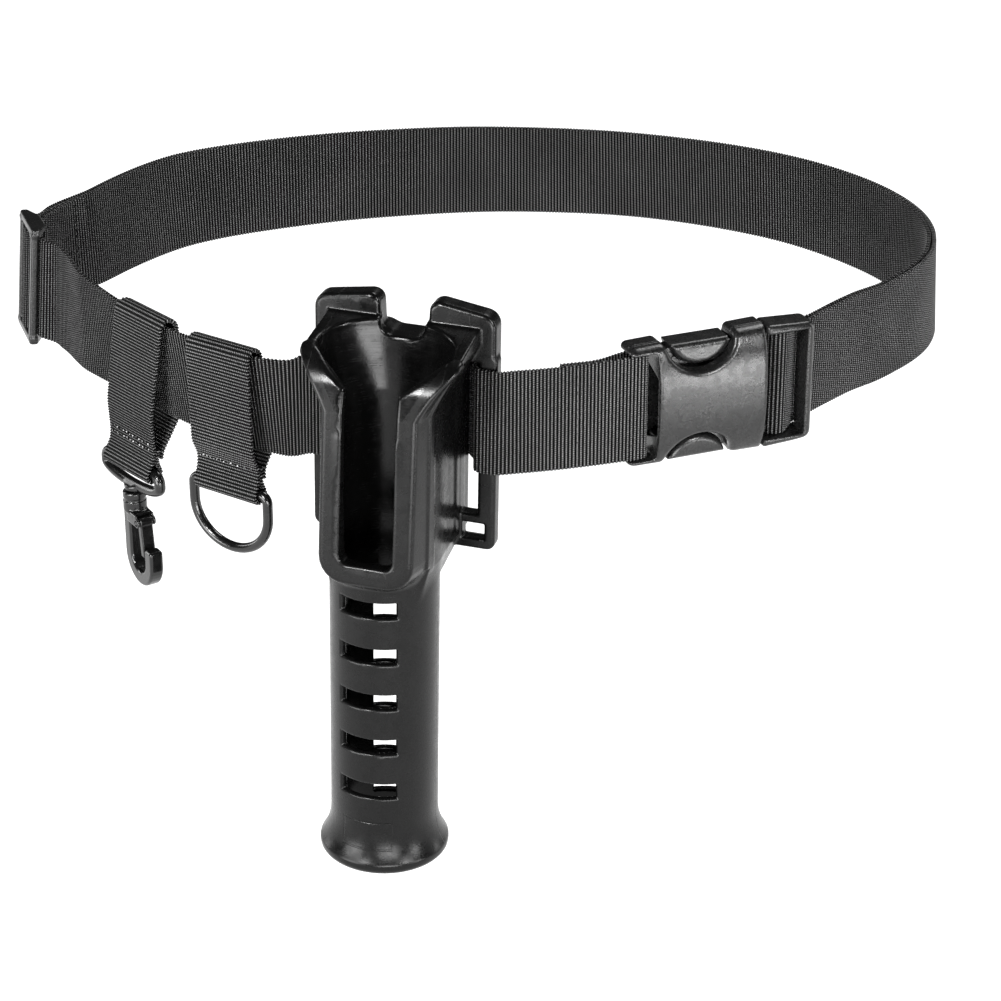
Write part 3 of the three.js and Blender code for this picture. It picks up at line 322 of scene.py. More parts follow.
def holster_shape(x, y, z):
    """The whole holster: tube, body, rim and plate, less the notch, opening, bore and vents."""
    side = np.abs(x)
    radial = np.sqrt(x * x + y * y)
    rise = np.clip((z - ARMS_LOW) / 15.5, 0, 1)
    rise = rise * (0.75 + 0.25 * rise)
    reach = np.where(z < ARMS_LOW, 17 - 0.088 * z, 15.94 - 4.94 * rise)
    foot = np.clip((z + 156) / 14, 0, 1)
    tube = both((radial - TUBE - 3.85 * (1 - foot) ** 2.4) * 0.95, between(z, TUBE_LOW, 5), 2.6)
    top = z - 33 - 0.1495 * (y - PLATE)
    body = holster_body(x, y, z, side, reach, rise, top)
    rim = holster_rim(x, y, z, side, reach, rise, top)
    hull = both(joined(body, rim, 1.2), top, 1)
    solid = joined(tube, hull, 2.2)
    plate = holster_plate(x, y, z, side)
    solid = joined(solid, plate, 1)
    notch = outline([
        (-NOTCH_HALF, 26.6, 4.5), (NOTCH_HALF, 26.6, 4.5), (8.6, 60, 0), (-8.6, 60, 0),
    ], x, z)
    solid = without(solid, both(notch, 16 - y, 0.1), 1.4)
    opening = outline([
        (-OPENING_HALF, -40.9, 3), (OPENING_HALF, -40.9, 3), (OPENING_HALF, CREASE, 1),
        (23, 30, 0), (23, 60, 0), (-23, 60, 0), (-23, 30, 0), (-OPENING_HALF, CREASE, 1),
    ], x, z)
    solid = without(solid, both(opening, y + 2, 0.1), 1.2)
    heights = [-4, 8, 20, 29.5, 45]
    half = np.interp(z, heights, [16.25, 17.45, 20.85, 23.5, 24.5])
    front = np.interp(z, heights, [16.25, 15.25, 12.25, 9, 9.5])
    back = np.interp(z, heights, [16.25, 16.25, 17.1, 18.1, 18.5])
    deep = np.where(y > 0, back, front)
    mouth = (np.sqrt((x / half) ** 2 + (y / deep) ** 2) - 1) * np.minimum(half, deep)
    bore = np.where(z < -4, radial - BORE, mouth)
    solid = without(solid, bore, 0.9)
    for facing, first in VENT_TOPS:
        count = np.clip(np.round((first - VENT_HALF - z) / VENT_PITCH), 0, VENTS - 1)
        level = np.abs(z - (first - VENT_HALF - VENT_PITCH * count)) - VENT_HALF
        spread = (side - 0.8 * (facing * y - 3)) * 0.78
        vent = np.maximum(np.maximum(spread, level), 3 - facing * y)
        solid = without(solid, vent, 0.8)
    return solid


# Buckle: x from socket to plug, -y outward
LEFT, RIGHT, SEAM = -34.8, 34.8, 15.8
WEB_HALF = 19.35  # half the room for the webbing
CAVITY = LEFT + 11.2  # the inner end of the socket's cavity
CAVITY_HALF = 19.8
PLUG_BAR = 22.6


def bulge(z, half, depth):
    """How far the front stands out at a height."""
    share = np.clip(0.94 * np.abs(z) / half, 0, 0.999)
    return depth * (1 - share ** 2.5) ** 0.4


def half_moon(x, z, inset):
    """The half round cut-out at the top and bottom edges."""
    wide, deep = 12.6 - inset, 11 - inset
    u, v = x + 8.8, 22.4 - np.abs(z)
    share = np.sqrt((u / wide) ** 2 + (v / deep) ** 2)
    return np.where(v > 0, (share - 1) * deep, np.abs(u) - wide)


def socket_shape(x, y, z):
    """The female half: a crowned shell with a parting ridge, cut-outs, cavity and webbing bar."""
    body = outline([
        (LEFT, -21.4, 3.2), (SEAM + 2.2, -22.9, 2.7), (SEAM + 2.2, 22.9, 2.7), (LEFT, 21.4, 3.2),
    ], x, z)
    body = both(body, x - SEAM, 0.5)
    front = (-y - bulge(z, 22.9, 9.7)) * 0.85
    solid = both(both(body, front, 2.2), y - 5.6, 1.6)
    solid = both(both(solid, both(LEFT - x, y - 5.6, 4), 0.5), both(LEFT - x, front, 3), 0.5)
    ridge = both(np.maximum(body, solid) - 0.35, np.abs(y + 1.2) - 0.4, 0.15)
    ridge = both(ridge, LEFT + 1.5 - x, 0.1)
    solid = joined(solid, np.maximum(ridge, solid - 0.5), 0.2)
    slot = outline([(-50, -WEB_HALF, 0), (LEFT + 10, -WEB_HALF, 1.4), (LEFT + 10, WEB_HALF, 1.4),
                    (-50, WEB_HALF, 0)], x, z)
    solid = without(solid, slot, 0.9)
    solid = without(solid, half_moon(x, z, 0), 1.7)
    bar = both(np.sqrt((x - LEFT - 4.6) ** 2 + (y + 1.5) ** 2) - 2, np.abs(z) - 20.4, 0.1)
    solid = joined(solid, bar, 0.5)
    room = np.maximum(np.maximum(between(y, -3.4, 3.4), np.abs(z) - CAVITY_HALF), CAVITY - x)
    end = both(between(y, -7.2, 3.2), np.abs(z) - 13 - 0.35 * y, 1)
    end = np.maximum(end, between(x, -27, CAVITY + 4))
    return without(without(solid, room, 0.3), end, 0.4)


def plug_shape(x, y, z):
    """The male half: a frame with a webbing bar, two prongs with finger pads and a middle guide."""
    body = outline([
        (SEAM + GAP, -22.5, 1.2), (RIGHT, -21.5, 3), (RIGHT, 21.5, 3), (SEAM + GAP, 22.5, 1.2),
    ], x, z)
    thin = 6.2 - 0.9 * np.clip((x - RIGHT + 8) / 8, 0, 1) ** 2
    solid = both(both(body, -y - thin, 2), y - 4.5, 1.4)
    window = np.maximum(np.abs(z) - WEB_HALF, x - (RIGHT - 3.2))
    solid = without(solid, window, 0.8)
    under = np.maximum(np.maximum(np.abs(z) - WEB_HALF, 2.5 - y), RIGHT - 3.3 - x)
    solid = without(solid, under, 0.4)
    bar = both(np.sqrt((x - PLUG_BAR) ** 2 + y * y) - 2.4, np.abs(z) - 20.3, 0.1)
    reach = CAVITY_HALF - GAP
    inner = between(y, -3.05, 3.05)
    level = np.abs(z)
    base = both(np.maximum(between(x, SEAM - 7, SEAM - 1.2), level - reach), inner, 0.3)
    stub = np.maximum(between(x, SEAM - 2, SEAM + 1.6), between(level, reach - 3, reach))
    step = np.maximum(between(x, SEAM + GAP, SEAM + 1.6), between(level, reach - 3, 21))
    neck = both(np.minimum(stub, step), inner, 0.01)
    prong = np.maximum(between(x, CAVITY + GAP, SEAM - 5), between(level, reach - 7, reach))
    prong = both(prong, inner, 0.5)
    guide = np.maximum(between(x, CAVITY + 6, SEAM - 5), level - 4)
    guide = both(guide, between(y, -2, 2), 0.4)
    pad = np.maximum(half_moon(x, z, 1.8), np.abs(z) - 21.1)
    crown = -y - 6.3 + 0.5 * np.clip((level - 12) / 9, 0, 1) ** 2
    pad = both(both(pad, crown, 2), y - 4.4, 1.2)
    solid = joined(joined(solid, bar, 0.6), neck, 0.1)
    inside = joined(joined(base, prong, 1), guide, 1)
    return joined(joined(solid, inside, 0.1), pad, 0.3)


# Slider: x along the belt, y outward
def slider_shape(x, y, z):
    """Two raised rails, two end bars and a lower middle bar."""
    rail = outline([
        (-12, -0.3, 1), (-4.8, -3.7, 1.5), (4.8, -3.7, 1.5), (12, -0.3, 1),
        (12, 2.7, 1.2), (-12, 2.7, 1.2),
    ], x, y)
    rail = both(rail, between(np.abs(z), WEB_HALF, 22.55), 0.9)
    ends = both(between(np.abs(x), 8.6, 12), between(y, -0.3, 2.7), 1.1)
    ends = np.maximum(ends, np.abs(z) - 20.5)
    middle = np.maximum(np.sqrt(x * x + (y + 2.2) ** 2) - 1.5, np.abs(z) - 20.5)
    return joined(joined(rail, ends, 0.9), middle, 0.7)


# Ring and eye: z down from the bar that the webbing folds over
def loop_route(half, side, height, wire):
    """A wire's route: a straight bar on top, straight sides and a round lower end."""
    corner = wire * 0.7
    turn = np.radians
    route = [(half - corner + corner * math.cos(a), -corner + corner * math.sin(a))
             for a in turn(np.linspace(90, 0, 7))]
    route += [(half * math.cos(a), -side + (height - side) * math.sin(a))
              for a in turn(np.linspace(0, -180, 29))]
    route += [(-half + corner + corner * math.cos(a), -corner + corner * math.sin(a))
              for a in turn(np.linspace(180, 90, 7))]
    return route + route[:1]


def ring_shape(x, y, z):
    return tube_along(loop_route(16.4, 8.5, 23.5, 3.6), 1.8, x, y, z)


def eye_shape(x, y, z):
    """The wire with its boss, stem and the head that the hook turns on."""
    wire = tube_along(loop_route(16.6, 4.2, 8.2, 4), 2, x, y, z)
    radial = np.sqrt(x * x + y * y)
    boss = both(radial - 3.5, between(z, -10.2, -8.2), 0.6)
    stem = np.maximum(radial - 1.7, between(z, -13.7, -8.2))
    head = both(radial - 2.7, between(z, -15.35, -13.15), 0.4)
    return joined(joined(joined(wire, boss, 1.5), stem, 0.3), head, 0.2)


# Snap hook: x from spine to nose, z from the eye's bar
BARREL_TOP, BARREL_LOW, HOOK_LOW, PIVOT = -10.55, -18.05, -45.85, (7.6, -20.35)
NOSE = HOOK_LOW + 16.4
HOOK_WIDE = 5.2
GATE_HALF = 2.4


def hook_shape(x, y, z):
    """The barrel, spine, bend and nose, with the block and cheeks that hold the gate's pin."""
    bend = outline([
        (-5.1, BARREL_LOW + 2, 0), (-5.1, HOOK_LOW, 10.5), (16.1, HOOK_LOW, 10.5),
        (16.1, NOSE, 1.4), (10.9, NOSE, 1.4), (10.9, HOOK_LOW + HOOK_WIDE, 5.3),
        (0.1, HOOK_LOW + HOOK_WIDE, 5.3), (0.1, BARREL_LOW + 2, 0),
    ], x, z, 10)
    bend = both(bend, np.abs(y) - 2.6, 1)
    bend = np.maximum(bend, z - BARREL_LOW - 0.5)
    radial = np.sqrt(x * x + y * y)
    barrel = both(radial - 4.3, between(z, BARREL_LOW - 0.5, BARREL_TOP), 0.8)
    groove = np.maximum(4.0 - radial, np.abs(z - BARREL_TOP + 3.1) - 0.5)
    barrel = without(barrel, groove, 0.3)
    cheek_in = GATE_HALF + GAP
    cheek_out = cheek_in + 0.9
    shoulder = between(z, BARREL_LOW - 4, BARREL_LOW + 0.5)
    block = np.maximum(between(x, 0, PIVOT[0] - 1.7 - GAP), shoulder)
    block = both(block, np.abs(y) - cheek_out, 0.7)
    hub = np.sqrt((x - PIVOT[0]) ** 2 + (z - PIVOT[1]) ** 2)
    arm = np.minimum(hub - 1.8, np.maximum(between(x, 0, PIVOT[0]), shoulder))
    cheeks = both(arm, between(np.abs(y), cheek_in, cheek_out), 0.4)
    room = np.maximum(between(x, PIVOT[0] - 2.05, 14), between(z, -30, PIVOT[1] + 2.05))
    room = np.maximum(room, np.abs(y) - cheek_in)
    solid = without(joined(joined(barrel, block, 0.8), cheeks, 0.2), room, 0.2)
    solid = joined(solid, bend, 1)
    solid = without(solid, np.maximum(radial - 2.05, between(z, -14.2, -9)), 0.2)
    solid = without(solid, np.maximum(radial - 3.05, between(z, -15.7, -12.8)), 0.1)
    return without(solid, np.maximum(hub - 1.05, np.abs(y) - 5), 0.1)


def gate_shape(x, y, z):
    """The leaf, its knuckle and its pin."""
    tip = NOSE - 4
    leaf = outline([
        (6.3, PIVOT[1], 0), (7.95, tip, 0.8), (10.55, tip, 0.8), (8.9, PIVOT[1], 0),
    ], x, z)
    leaf = both(leaf, np.abs(y) - GATE_HALF, 0.5)
    hub = np.sqrt((x - PIVOT[0]) ** 2 + (z - PIVOT[1]) ** 2)
    knuckle = both(hub - 1.7, np.abs(y) - GATE_HALF, 0.3)
    pin = both(hub - 0.7, np.abs(y) - 3.65, 0.2)
    return joined(joined(leaf, knuckle, 0.5), pin, 0.05)


# Webbing
BAND, STRAP_WIDE, KEEPER_WIDE = 1.5, 38, 27.4
PER_RIB = 5
CREST = (0.0, 0.05, 0.75, 1.0, 0.75)  # how high each sample along a rib stands
GROOVE = 0.55
TAIL_TRIM = 5.5
ON_FACE = 0.72  # from a band's middle to the threads on its face


def strap_rings(node, width, thick):
    """The middle, the direction across and the direction through at each station of a band."""
    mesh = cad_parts[node].data
    places = np.array([vertex.co for vertex in mesh.vertices]) / MM
    merged, index = np.unique(np.round(places, 2), axis=0, return_inverse=True)
    index = index.ravel()
    links = [set() for _ in merged]
    for edge in mesh.edges:
        a, b = (int(index[v]) for v in edge.vertices)
        if a != b:
            links[a].add(b)
            links[b].add(a)

    def levels(starts):
        seen = set(starts)
        rows = [sorted(seen)]
        while rows[-1]:
            rows.append(sorted({n for v in rows[-1] for n in links[v]} - seen))
            seen.update(rows[-1])
        return rows[:-1]

    far = levels([0])[-1][0]
    close = [v for row in levels([far])[1:3] for v in row]
    away = np.linalg.norm(merged[close] - merged[far], axis=1)
    sides = (thick, width, math.hypot(width, thick))
    end = {far} | {close[int(np.argmin(np.abs(away - side)))] for side in sides}
    rows = [merged[row] for row in levels(sorted(end))]
    middles, across, through = [], [], []
    for row in rows:
        middle = row.mean(0)
        _, _, axes = np.linalg.svd(row - middle)
        wide, deep = axes[0], axes[1]
        if across and wide @ across[-1] < 0:
            wide = -wide
        if through and deep @ through[-1] < 0:
            deep = -deep
        middles.append(middle)
        across.append(wide)
        through.append(deep)
    return np.array(middles), np.array(across), np.array(through)


def smooth_run(middles, across, through, step):
    """Even samples of a smooth curve through the stations."""
    padded = np.vstack([2 * middles[0] - middles[1], middles, 2 * middles[-1] - middles[-2]])
    share = np.linspace(0, 1, 16, endpoint=False)[:, None]
    places, wide, deep = [], [], []
    for i in range(len(middles) - 1):
        p0, p1, p2, p3 = padded[i:i + 4]
        t0, t1, t2 = (math.sqrt(np.linalg.norm(b - a)) for a, b in ((p0, p1), (p1, p2), (p2, p3)))
        m1 = (p2 - p1) + t1 * ((p1 - p0) / t0 - (p2 - p0) / (t0 + t1))
        m2 = (p2 - p1) + t1 * ((p3 - p2) / t2 - (p3 - p1) / (t1 + t2))
        s2, s3 = share ** 2, share ** 3
        places.append((2 * s3 - 3 * s2 + 1) * p1 + (s3 - 2 * s2 + share) * m1
                      + (3 * s2 - 2 * s3) * p2 + (s3 - s2) * m2)
        wide.append(across[i] * (1 - share) + across[i + 1] * share)
        deep.append(through[i] * (1 - share) + through[i + 1] * share)
    places = np.vstack([*places, middles[-1:]])
    wide = np.vstack([*wide, across[-1:]])
    deep = np.vstack([*deep, through[-1:]])
    run = np.concatenate([[0], np.cumsum(np.linalg.norm(np.diff(places, axis=0), axis=1))])
    at = np.linspace(0, run[-1], max(2, int(round(run[-1] / step))) + 1)

    def even(values):
        return np.stack([np.interp(at, run, values[:, k]) for k in range(3)], axis=1)

    places, wide, deep = even(places), even(wide), even(deep)
    along = np.gradient(places, axis=0)
    along /= np.linalg.norm(along, axis=1)[:, None]
    wide /= np.linalg.norm(wide, axis=1)[:, None]
    thin = np.cross(wide, along)
    thin *= np.sign((thin * deep).sum(1))[:, None]
    thin /= np.linalg.norm(thin, axis=1)[:, None]
    return at, places, wide, thin


def webbing_band(name, node, width, material, trim=0):
    """Ribbed webbing along its CAD node, the ribs across the band."""
    middles, across, through = strap_rings(node, width, BAND)
    across, through = turned(across, True, middles), turned(through, True, middles)
    middles = turned(middles)
    at, places, wide, thin = smooth_run(middles, across, through, RIB / PER_RIB)
    if trim:
        keep = at < at[-1] - trim if places[-1][0] > places[0][0] else at > trim
        at, places, wide, thin = at[keep], places[keep], wide[keep], thin[keep]
        at = at - at[0]
    crest = np.array(CREST)[np.arange(len(at)) % PER_RIB]
    waver = 0.06 * np.sin(at * 0.037 + 1) + 0.04 * np.sin(at * 0.11)
    half, flat = width / 2, BAND / 2
    profile = [
        (half - 0.5, flat, 0, 1), (0, flat, 0, 1), (-half + 0.5, flat, 0, 1),
        (-half + 0.1, flat - 0.22, -0.5, 0.5), (-half, 0, -1, 0),
        (-half + 0.1, 0.22 - flat, -0.5, -0.5),
        (-half + 0.5, -flat, 0, -1), (0, -flat, 0, -1), (half - 0.5, -flat, 0, -1),
        (half - 0.1, 0.22 - flat, 0.5, -0.5), (half, 0, 1, 0), (half - 0.1, flat - 0.22, 0.5, 0.5),
    ]
    count = len(profile)
    points = np.zeros((len(at), count, 3))
    marks = np.zeros((len(at), count, 3))
    sink = GROOVE * (1 - crest)
    for k, (a, t, na, nt) in enumerate(profile):
        edge = waver * (abs(a) > half - 1) * np.sign(a)
        points[:, k] = (places + wide * (a + edge - na * sink)[:, None]
                        + thin * (t - nt * sink)[:, None])
        marks[:, k] = np.stack([at, np.full(len(at), a), np.full(len(at), t)], axis=1)
    rows = len(at)
    grid = np.arange(rows * count).reshape(rows, count)
    a, b = grid[:-1], grid[1:]
    quads = np.stack([a, np.roll(a, -1, 1), np.roll(b, -1, 1), b], axis=-1).reshape(-1, 4)
    faces = quads.tolist() + [grid[0][::-1].tolist(), grid[-1].tolist()]
    points = points.reshape(-1, 3)
    i, j, k, _ = faces[0]
    turn = np.cross(points[j] - points[i], points[k] - points[i])
    if turn @ (points[i] - places[0]) < 0:
        faces = [face[::-1] for face in faces]
    marks = {"weave": marks.reshape(-1, 3)}
    obj = make_mesh(name, points, faces, "belt", material, marks)
    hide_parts(node)
    return at, places, wide, thin


def stitches(name, rows, material):
    """Short threads on webbing. A row is its middle, direction, outward normal, span and slant."""
    points, faces = [], []
    rings, sides = 5, 6
    pitch, half_length, half_width, half_height = 3, 1.2, 0.36, 0.3
    for middle, along, out, span, slant in rows:
        along, out = along / np.linalg.norm(along), out / np.linalg.norm(out)
        beside = np.cross(along, out)
        count = int(span / pitch)
        for index in range(count):
            centre = middle + along * (index + 0.5 - count / 2) * span / count
            lean = along + beside * (slant if index % 2 else -slant)
            lean /= np.linalg.norm(lean)
            flat = np.cross(lean, out)
            first = len(points)
            for ring in range(rings):
                share = 2 * ring / (rings - 1) - 1
                size = math.sqrt(max(1 - share ** 2, 0.04))
                for side in range(sides):
                    angle = 2 * math.pi * side / sides
                    lift = half_height * size * math.sin(angle) + 0.2 * (1 - share ** 2) - 0.02
                    points.append(centre + lean * half_length * share
                                  + flat * half_width * size * math.cos(angle) + out * lift)
            for ring in range(rings - 1):
                for side in range(sides):
                    a, b = first + ring * sides + side, first + ring * sides + (side + 1) % sides
                    faces.append([a, a + sides, b + sides, b])
            faces.append([first + side for side in range(sides)])
            faces.append([first + (rings - 1) * sides + side for side in range(sides)][::-1])
    make_mesh(name, points, faces, "belt", material, {"weave": points})


# Materials
class Nodes:
    """Short calls for a material's nodes."""

    def __init__(self, name):
        self.material = bpy.data.materials.new(name)
        self.material.use_nodes = True
        self.tree = self.material.node_tree
        self.shader = self.tree.nodes["Principled BSDF"]

    def add(self, kind, inputs=None, **settings):
        node = self.tree.nodes.new(kind)
        for key, value in settings.items():
            setattr(node, key, value)
        for key, value in (inputs or {}).items():
            if isinstance(value, bpy.types.NodeSocket):
                self.tree.links.new(value, node.inputs[key])
            else:
                node.inputs[key].default_value = value
        return node

    def math(self, operation, a, b=0.0):
        return self.add("ShaderNodeMath", {0: a, 1: b}, operation=operation).outputs[0]

    def ramp(self, value, low, high, start, end):
        return self.add("ShaderNodeMapRange", {
            "Value": value, "From Min": low, "From Max": high, "To Min": start, "To Max": end,
        }).outputs[0]

    def noise(self, vector, scale, detail=2.0, rough=0.5):
        return self.add("ShaderNodeTexNoise", {
            "Vector": vector, "Scale": scale, "Detail": detail, "Roughness": rough,
        }).outputs[0]

    def scaled(self, vector, factors):
        node = self.add("ShaderNodeVectorMath", {0: vector, 1: factors}, operation="MULTIPLY")
        return node.outputs[0]

    def mark(self, name):
        node = self.add("ShaderNodeAttribute", attribute_name=name, attribute_type="GEOMETRY")
        return node.outputs["Vector"]

    def bump(self, height, distance, strength=1.0, normal=None):
        inputs = {"Height": height, "Distance": distance, "Strength": strength}
        if normal is not None:
            inputs["Normal"] = normal
        return self.add("ShaderNodeBump", inputs).outputs[0]

    def grey(self, value):
        return self.add("ShaderNodeCombineColor", {0: value, 1: value, 2: value}).outputs[0]

    def link(self, value, socket):
        self.tree.links.new(value, self.shader.inputs[socket])


def holster_lines(n, local):
    """Parting lines on the ears and the tube, and the outline of the blank panel near its foot."""
    split = n.add("ShaderNodeSeparateXYZ", {0: local})
    x, y, z = split.outputs
    side = n.math("ABSOLUTE", x)

    def stripe(value, place, width):
        away = n.math("ABSOLUTE", n.math("SUBTRACT", value, place))
        return n.ramp(away, width * 0.5, width, 1, 0)

    ears = n.math("MULTIPLY", stripe(side, 23, 0.3), n.math("GREATER_THAN", z, 23.5))
    tube = n.math("MULTIPLY", stripe(y, 0, 0.35), n.math("LESS_THAN", z, -66))
    tube = n.math("MULTIPLY", tube, n.math("GREATER_THAN", side, 17))
    tall = n.math("SUBTRACT", n.math("ABSOLUTE", n.math("ADD", z, 146)), 5)
    panel = stripe(n.math("MAXIMUM", n.math("SUBTRACT", side, 9), tall), 0, 0.35)
    panel = n.math("MULTIPLY", panel, n.math("LESS_THAN", y, -8))
    return n.math("MULTIPLY", n.math("MAXIMUM", n.math("MAXIMUM", ears, tube), panel), -1)


def moulded(name, dark, light, rough, grain, specular, painted_sparkle, grain_size=0.6, streaks=0.0):
    """Moulded plastic: a fine grain with painted sparkle in its colour, and painted highlights on its sharp
    edges. Streaks are for the holster's funnel.
    """
    n = Nodes(name)
    local = n.mark("local")
    fine = n.noise(local, 1 / grain_size, 3, 0.6)
    broad = n.noise(local, 0.05, 3, 0.55)
    shade = n.ramp(broad, 0.3, 0.7, dark, light)
    # Painted highlight: the colour turns paler on sharp convex edges, broken up by noise.
    edge = n.add("ShaderNodeNewGeometry").outputs["Pointiness"]
    edge_highlight = n.ramp(edge, 0.54, 0.62, 0, 1)
    edge_highlight = n.math("MULTIPLY", edge_highlight, n.ramp(n.noise(local, 0.6, 3), 0.35, 0.75, 0, 1))
    shade = n.math("ADD", shade, n.math("MULTIPLY", edge_highlight, light * 0.8))
    # Painted sparkle: the fine grain noise makes small specks brighter and darker in colour.
    shade = n.math("MULTIPLY", shade, n.ramp(fine, 0.35, 0.65, 1 - painted_sparkle, 1 + painted_sparkle))
    n.link(n.grey(shade), "Base Color")
    gloss = n.ramp(n.noise(local, 0.3, 3), 0.3, 0.7, rough - 0.05, rough + 0.06)
    if streaks:
        brushed = n.noise(n.scaled(local, (0.15, 0.15, 5)), 1, 3)
        split = n.add("ShaderNodeSeparateXYZ", {0: local})
        flat = n.scaled(local, (1, 1, 0))
        radial = n.add("ShaderNodeVectorMath", {0: flat}, operation="LENGTH").outputs["Value"]
        limit = n.math("MULTIPLY", n.math("MAXIMUM", split.outputs[2], 0), 0.2)
        inside = n.math("LESS_THAN", radial, n.math("ADD", limit, 17.1))
        brushed = n.math("MULTIPLY", n.ramp(brushed, 0.35, 0.65, -streaks, streaks), inside)
        gloss = n.math("ADD", gloss, brushed)
        gloss = n.math("SUBTRACT", gloss, n.math("MULTIPLY", inside, 0.07))
    n.link(gloss, "Roughness")
    normal = n.bump(fine, grain * MM, 1.0)
    if streaks:
        normal = n.bump(holster_lines(n, local), 0.12 * MM, 1.0, normal)
    n.link(normal, "Normal")
    n.shader.inputs["Specular IOR Level"].default_value = specular
    return n.material


def woven(name, level):
    """Ribbed webbing: slanted yarns on each rib, painted shade in the grooves, painted highlights on the
    crests and yarns, and a dry sheen.
    """
    n = Nodes(name)
    weave = n.mark("weave")
    split = n.add("ShaderNodeSeparateXYZ", {0: weave})
    along, side = split.outputs[0], split.outputs[1]
    ripple = n.math("MULTIPLY", n.noise(weave, 0.8, 2), 0.5)
    yarn = n.math("ADD", n.math("MULTIPLY", side, 1 / 0.8), n.math("MULTIPLY", along, 0.5 / RIB))
    yarn = n.math("ADD", yarn, ripple)
    strand = n.math("ABSOLUTE", n.math("SINE", n.math("MULTIPLY", yarn, math.pi)))
    turn = n.math("MULTIPLY", n.math("SUBTRACT", along, 0.6 * RIB), 2 * math.pi / RIB)
    rib = n.ramp(n.math("COSINE", turn), -1, 1, 0, 1)
    fuzz = n.noise(weave, 5, 2)
    # Painted shade and highlight: the colour is near black in the grooves and full level on the crests.
    shade = n.ramp(rib, 0.5, 1.0, level * 0.005, level)
    # Painted shade between the yarns and painted highlight on them.
    shade = n.math("MULTIPLY", shade, n.ramp(strand, 0.15, 0.85, 0.1, 1.8))
    shade = n.math("MULTIPLY", shade, n.ramp(n.noise(weave, 0.04, 3), 0.3, 0.7, 0.85, 1.15))
    shade = n.math("MULTIPLY", shade, n.ramp(fuzz, 0.3, 0.7, 0.8, 1.2))
    n.link(n.grey(shade), "Base Color")
    n.link(n.ramp(fuzz, 0.3, 0.7, 0.55, 0.75), "Roughness")
    normal = n.bump(strand, 0.3 * MM, 1.0)
    normal = n.bump(fuzz, 0.05 * MM, 0.5, normal)
    n.link(normal, "Normal")
    n.shader.inputs["Sheen Weight"].default_value = 0.01
    n.shader.inputs["Sheen Roughness"].default_value = 0.5
    n.shader.inputs["Specular IOR Level"].default_value = 0.05
    return n.material


webbing = woven("webbing_black", 0.06)
thread_dark = woven("thread_dark", 0.05)
thread = woven("thread_grey", 0.2)
holster_plastic = moulded("holster_moulding", dark=0.001, light=0.002, rough=0.27, grain=0.03,
                          specular=0.18, painted_sparkle=0.5, streaks=0.06)
acetal = moulded("buckle_acetal", dark=0.004, light=0.008, rough=0.26, grain=0.07,
                 specular=0.36, painted_sparkle=0.8, grain_size=0.7)
slider_plastic = moulded("slider_acetal", dark=0.003, light=0.006, rough=0.26, grain=0.04,
                         specular=0.3, painted_sparkle=0.4)
hardware = moulded("hook_acetal", dark=0.002, light=0.003, rough=0.18, grain=0.03,
                   specular=0.4, painted_sparkle=0.3)

# The pieces
carve("holster_moulding", "rod_holster", "holster", (-34.1, -24.1, -162.12), (34, 33, 42), 0.5,
      holster_shape, "belt", holster_plastic)
carve("buckle_socket_moulding", "buckle_socket", "buckle", (-36, -11, -24), (17, 7, 24), 0.3,
      socket_shape, "belt", acetal)
carve("buckle_plug_moulding", "buckle_plug", "buckle", (-27, -8, -24), (36, 6, 24), 0.3,
      plug_shape, "belt", acetal)
carve("slider_moulding", "slider", "slider", (-13, -5, -24), (13, 4, 24), 0.25,
      slider_shape, "belt", slider_plastic)
carve("ring_moulding", "d_ring", "ring", (-19, -2.5, -26), (19, 2.5, 2.6), 0.25,
      ring_shape, "ring", hardware)
carve("eye_moulding", "hook_eye", "eye", (-19.4, -4.2, -16), (19.4, 4.2, 2.8), 0.22,
      eye_shape, "eye", hardware)
carve("hook_moulding", "hook_body", "hook", (-5.8, -5.2, -46.6), (16.8, 5.2, -9.9), 0.2,
      hook_shape, "hook", hardware)
carve("gate_moulding", "hook_gate", "hook", (5.2, -4.2, -34.4), (11.4, 4.2, -18), 0.16,
      gate_shape, "gate", hardware)

strap = webbing_band("strap_webbing", "main_strap", STRAP_WIDE, webbing, trim=TAIL_TRIM)
ring_keeper = webbing_band("ring_keeper_webbing", "ring_keeper", KEEPER_WIDE, webbing)
hook_keeper = webbing_band("hook_keeper_webbing", "hook_keeper", KEEPER_WIDE, webbing)


def end_rows(band, inset, span):
    """Stitch rows near both ends of a band: on its inner face, and outside the layer it lies on."""
    at, places, wide, thin = band
    rows = []
    for end in (0, at[-1]):
        index = int(np.argmin(np.abs(at - abs(end - inset))))
        away = np.linalg.norm(places - places[index], axis=1) + 100 * (np.abs(at - at[index]) < 15)
        partner = int(np.argmin(away))
        for spot, sign in ((index, -1), (partner, 1)):
            out = thin[spot] * np.sign(thin[spot] @ (places[spot] * (1, 1, 0))) * sign
            rows.append((places[spot] + out * ON_FACE, wide[spot], out, span, 0.12))
    return rows


def level_row(band, level, span):
    """A zigzag stitch row across the outer layer of a hanging loop, at a height."""
    at, places, wide, thin = band
    outward = np.linalg.norm(places[:, :2], axis=1)
    score = np.abs(places[:, 2] - level) + 100 * (outward < np.median(outward))
    index = int(np.argmin(score))
    out = thin[index] * np.sign(thin[index] @ (places[index] * (1, 1, 0)))
    return [(places[index] + out * ON_FACE, wide[index], out, span, 0.3)]


stitches("strap_stitching", end_rows(strap, 5.5, 36), thread_dark)
stitches("keeper_stitching", level_row(ring_keeper, -28, 25)
         + level_row(hook_keeper, -32, 25) + level_row(hook_keeper, -34.5, 25), thread)


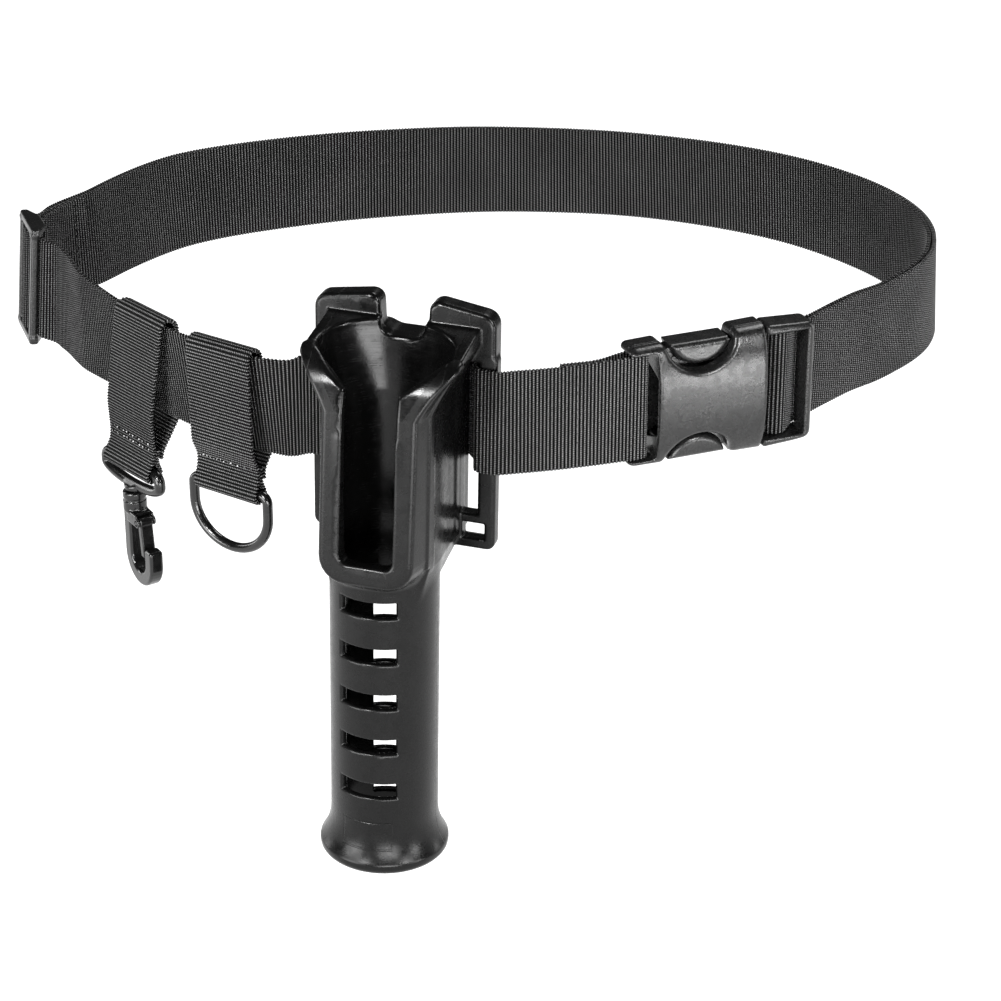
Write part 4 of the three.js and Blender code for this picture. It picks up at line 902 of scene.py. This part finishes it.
# Floor, lights and camera
def floor(reach=30, below=0.0005):
    """A pale floor just under the part, glowing so that it stays white."""
    mesh = bpy.data.meshes.new("floor")
    low = cad_box[0][2] - below
    corners = [(x, y, low) for x, y in ((-reach, -reach), (reach, -reach), (reach, reach), (-reach, reach))]
    mesh.from_pydata(corners, [], [(0, 1, 2, 3)])
    obj = bpy.data.objects.new("floor", mesh)
    bpy.context.scene.collection.objects.link(obj)
    n = Nodes("floor_white")
    n.shader.inputs["Base Color"].default_value = (0.35, 0.35, 0.35, 1)
    n.shader.inputs["Roughness"].default_value = 1
    n.shader.inputs["Specular IOR Level"].default_value = 0
    n.shader.inputs["Emission Color"].default_value = (1, 1, 1, 1)
    n.shader.inputs["Emission Strength"].default_value = 0.98
    mesh.materials.append(n.material)


def area_light(name, place, aim, size, height, power):
    """A soft light of a width and height in metres, facing a point."""
    light = bpy.data.lights.new(name, "AREA")
    light.shape = "RECTANGLE"
    light.size = size
    light.size_y = height
    light.energy = power
    obj = bpy.data.objects.new(name, light)
    obj.location = place
    obj.rotation_euler = (Vector(aim) - Vector(place)).to_track_quat("-Z", "Y").to_euler()
    bpy.context.scene.collection.objects.link(obj)


floor()
scene = bpy.context.scene
world = bpy.data.worlds.new("studio")
world.use_nodes = True
world.node_tree.nodes["Background"].inputs[0].default_value = (1, 1, 1, 1)
world.node_tree.nodes["Background"].inputs[1].default_value = 0.06
scene.world = world
holster_front, holster_low, holster_side = (-0.03, -0.12, 0.01), (0.08, -0.1, 0), (0, -0.1, -0.05)
area_light("key", (-0.7, -1.1, 0.7), (-0.02, -0.05, 0), 0.16, 0.4, power=30)
area_light("fill", (0.75, -1.0, 0.55), (0.02, -0.05, 0), 0.14, 0.4, power=16)
area_light("low_left", (-0.56, -0.5, -0.04), holster_front, 0.34, 0.24, power=4.2)
area_light("low_front", (0.06, -0.7, -0.05), holster_front, 0.34, 0.2, power=4.2)
area_light("side", (-0.9, 0.25, 0.12), holster_side, 0.2, 0.8, power=4)
area_light("right", (0.9, 0.1, 0.15), holster_side, 0.2, 0.8, power=3)
area_light("low_right", (0.4, -0.4, -0.08), holster_low, 0.1, 0.12, power=1.0)
area_light("back", (0.5, 0.8, 1.2), (0, 0, 0), 0.5, 0.5, power=8)
scene.view_settings.view_transform = "Standard"

camera = bpy.data.cameras.new("camera")
camera.lens = 106.6
camera.sensor_width = 36
camera_object = bpy.data.objects.new("camera", camera)
camera_object.location = (0.00758, -1.02075, 0.40851)
camera_object.rotation_euler = (math.radians(64), 0, 0)
scene.collection.objects.link(camera_object)
scene.camera = camera_object
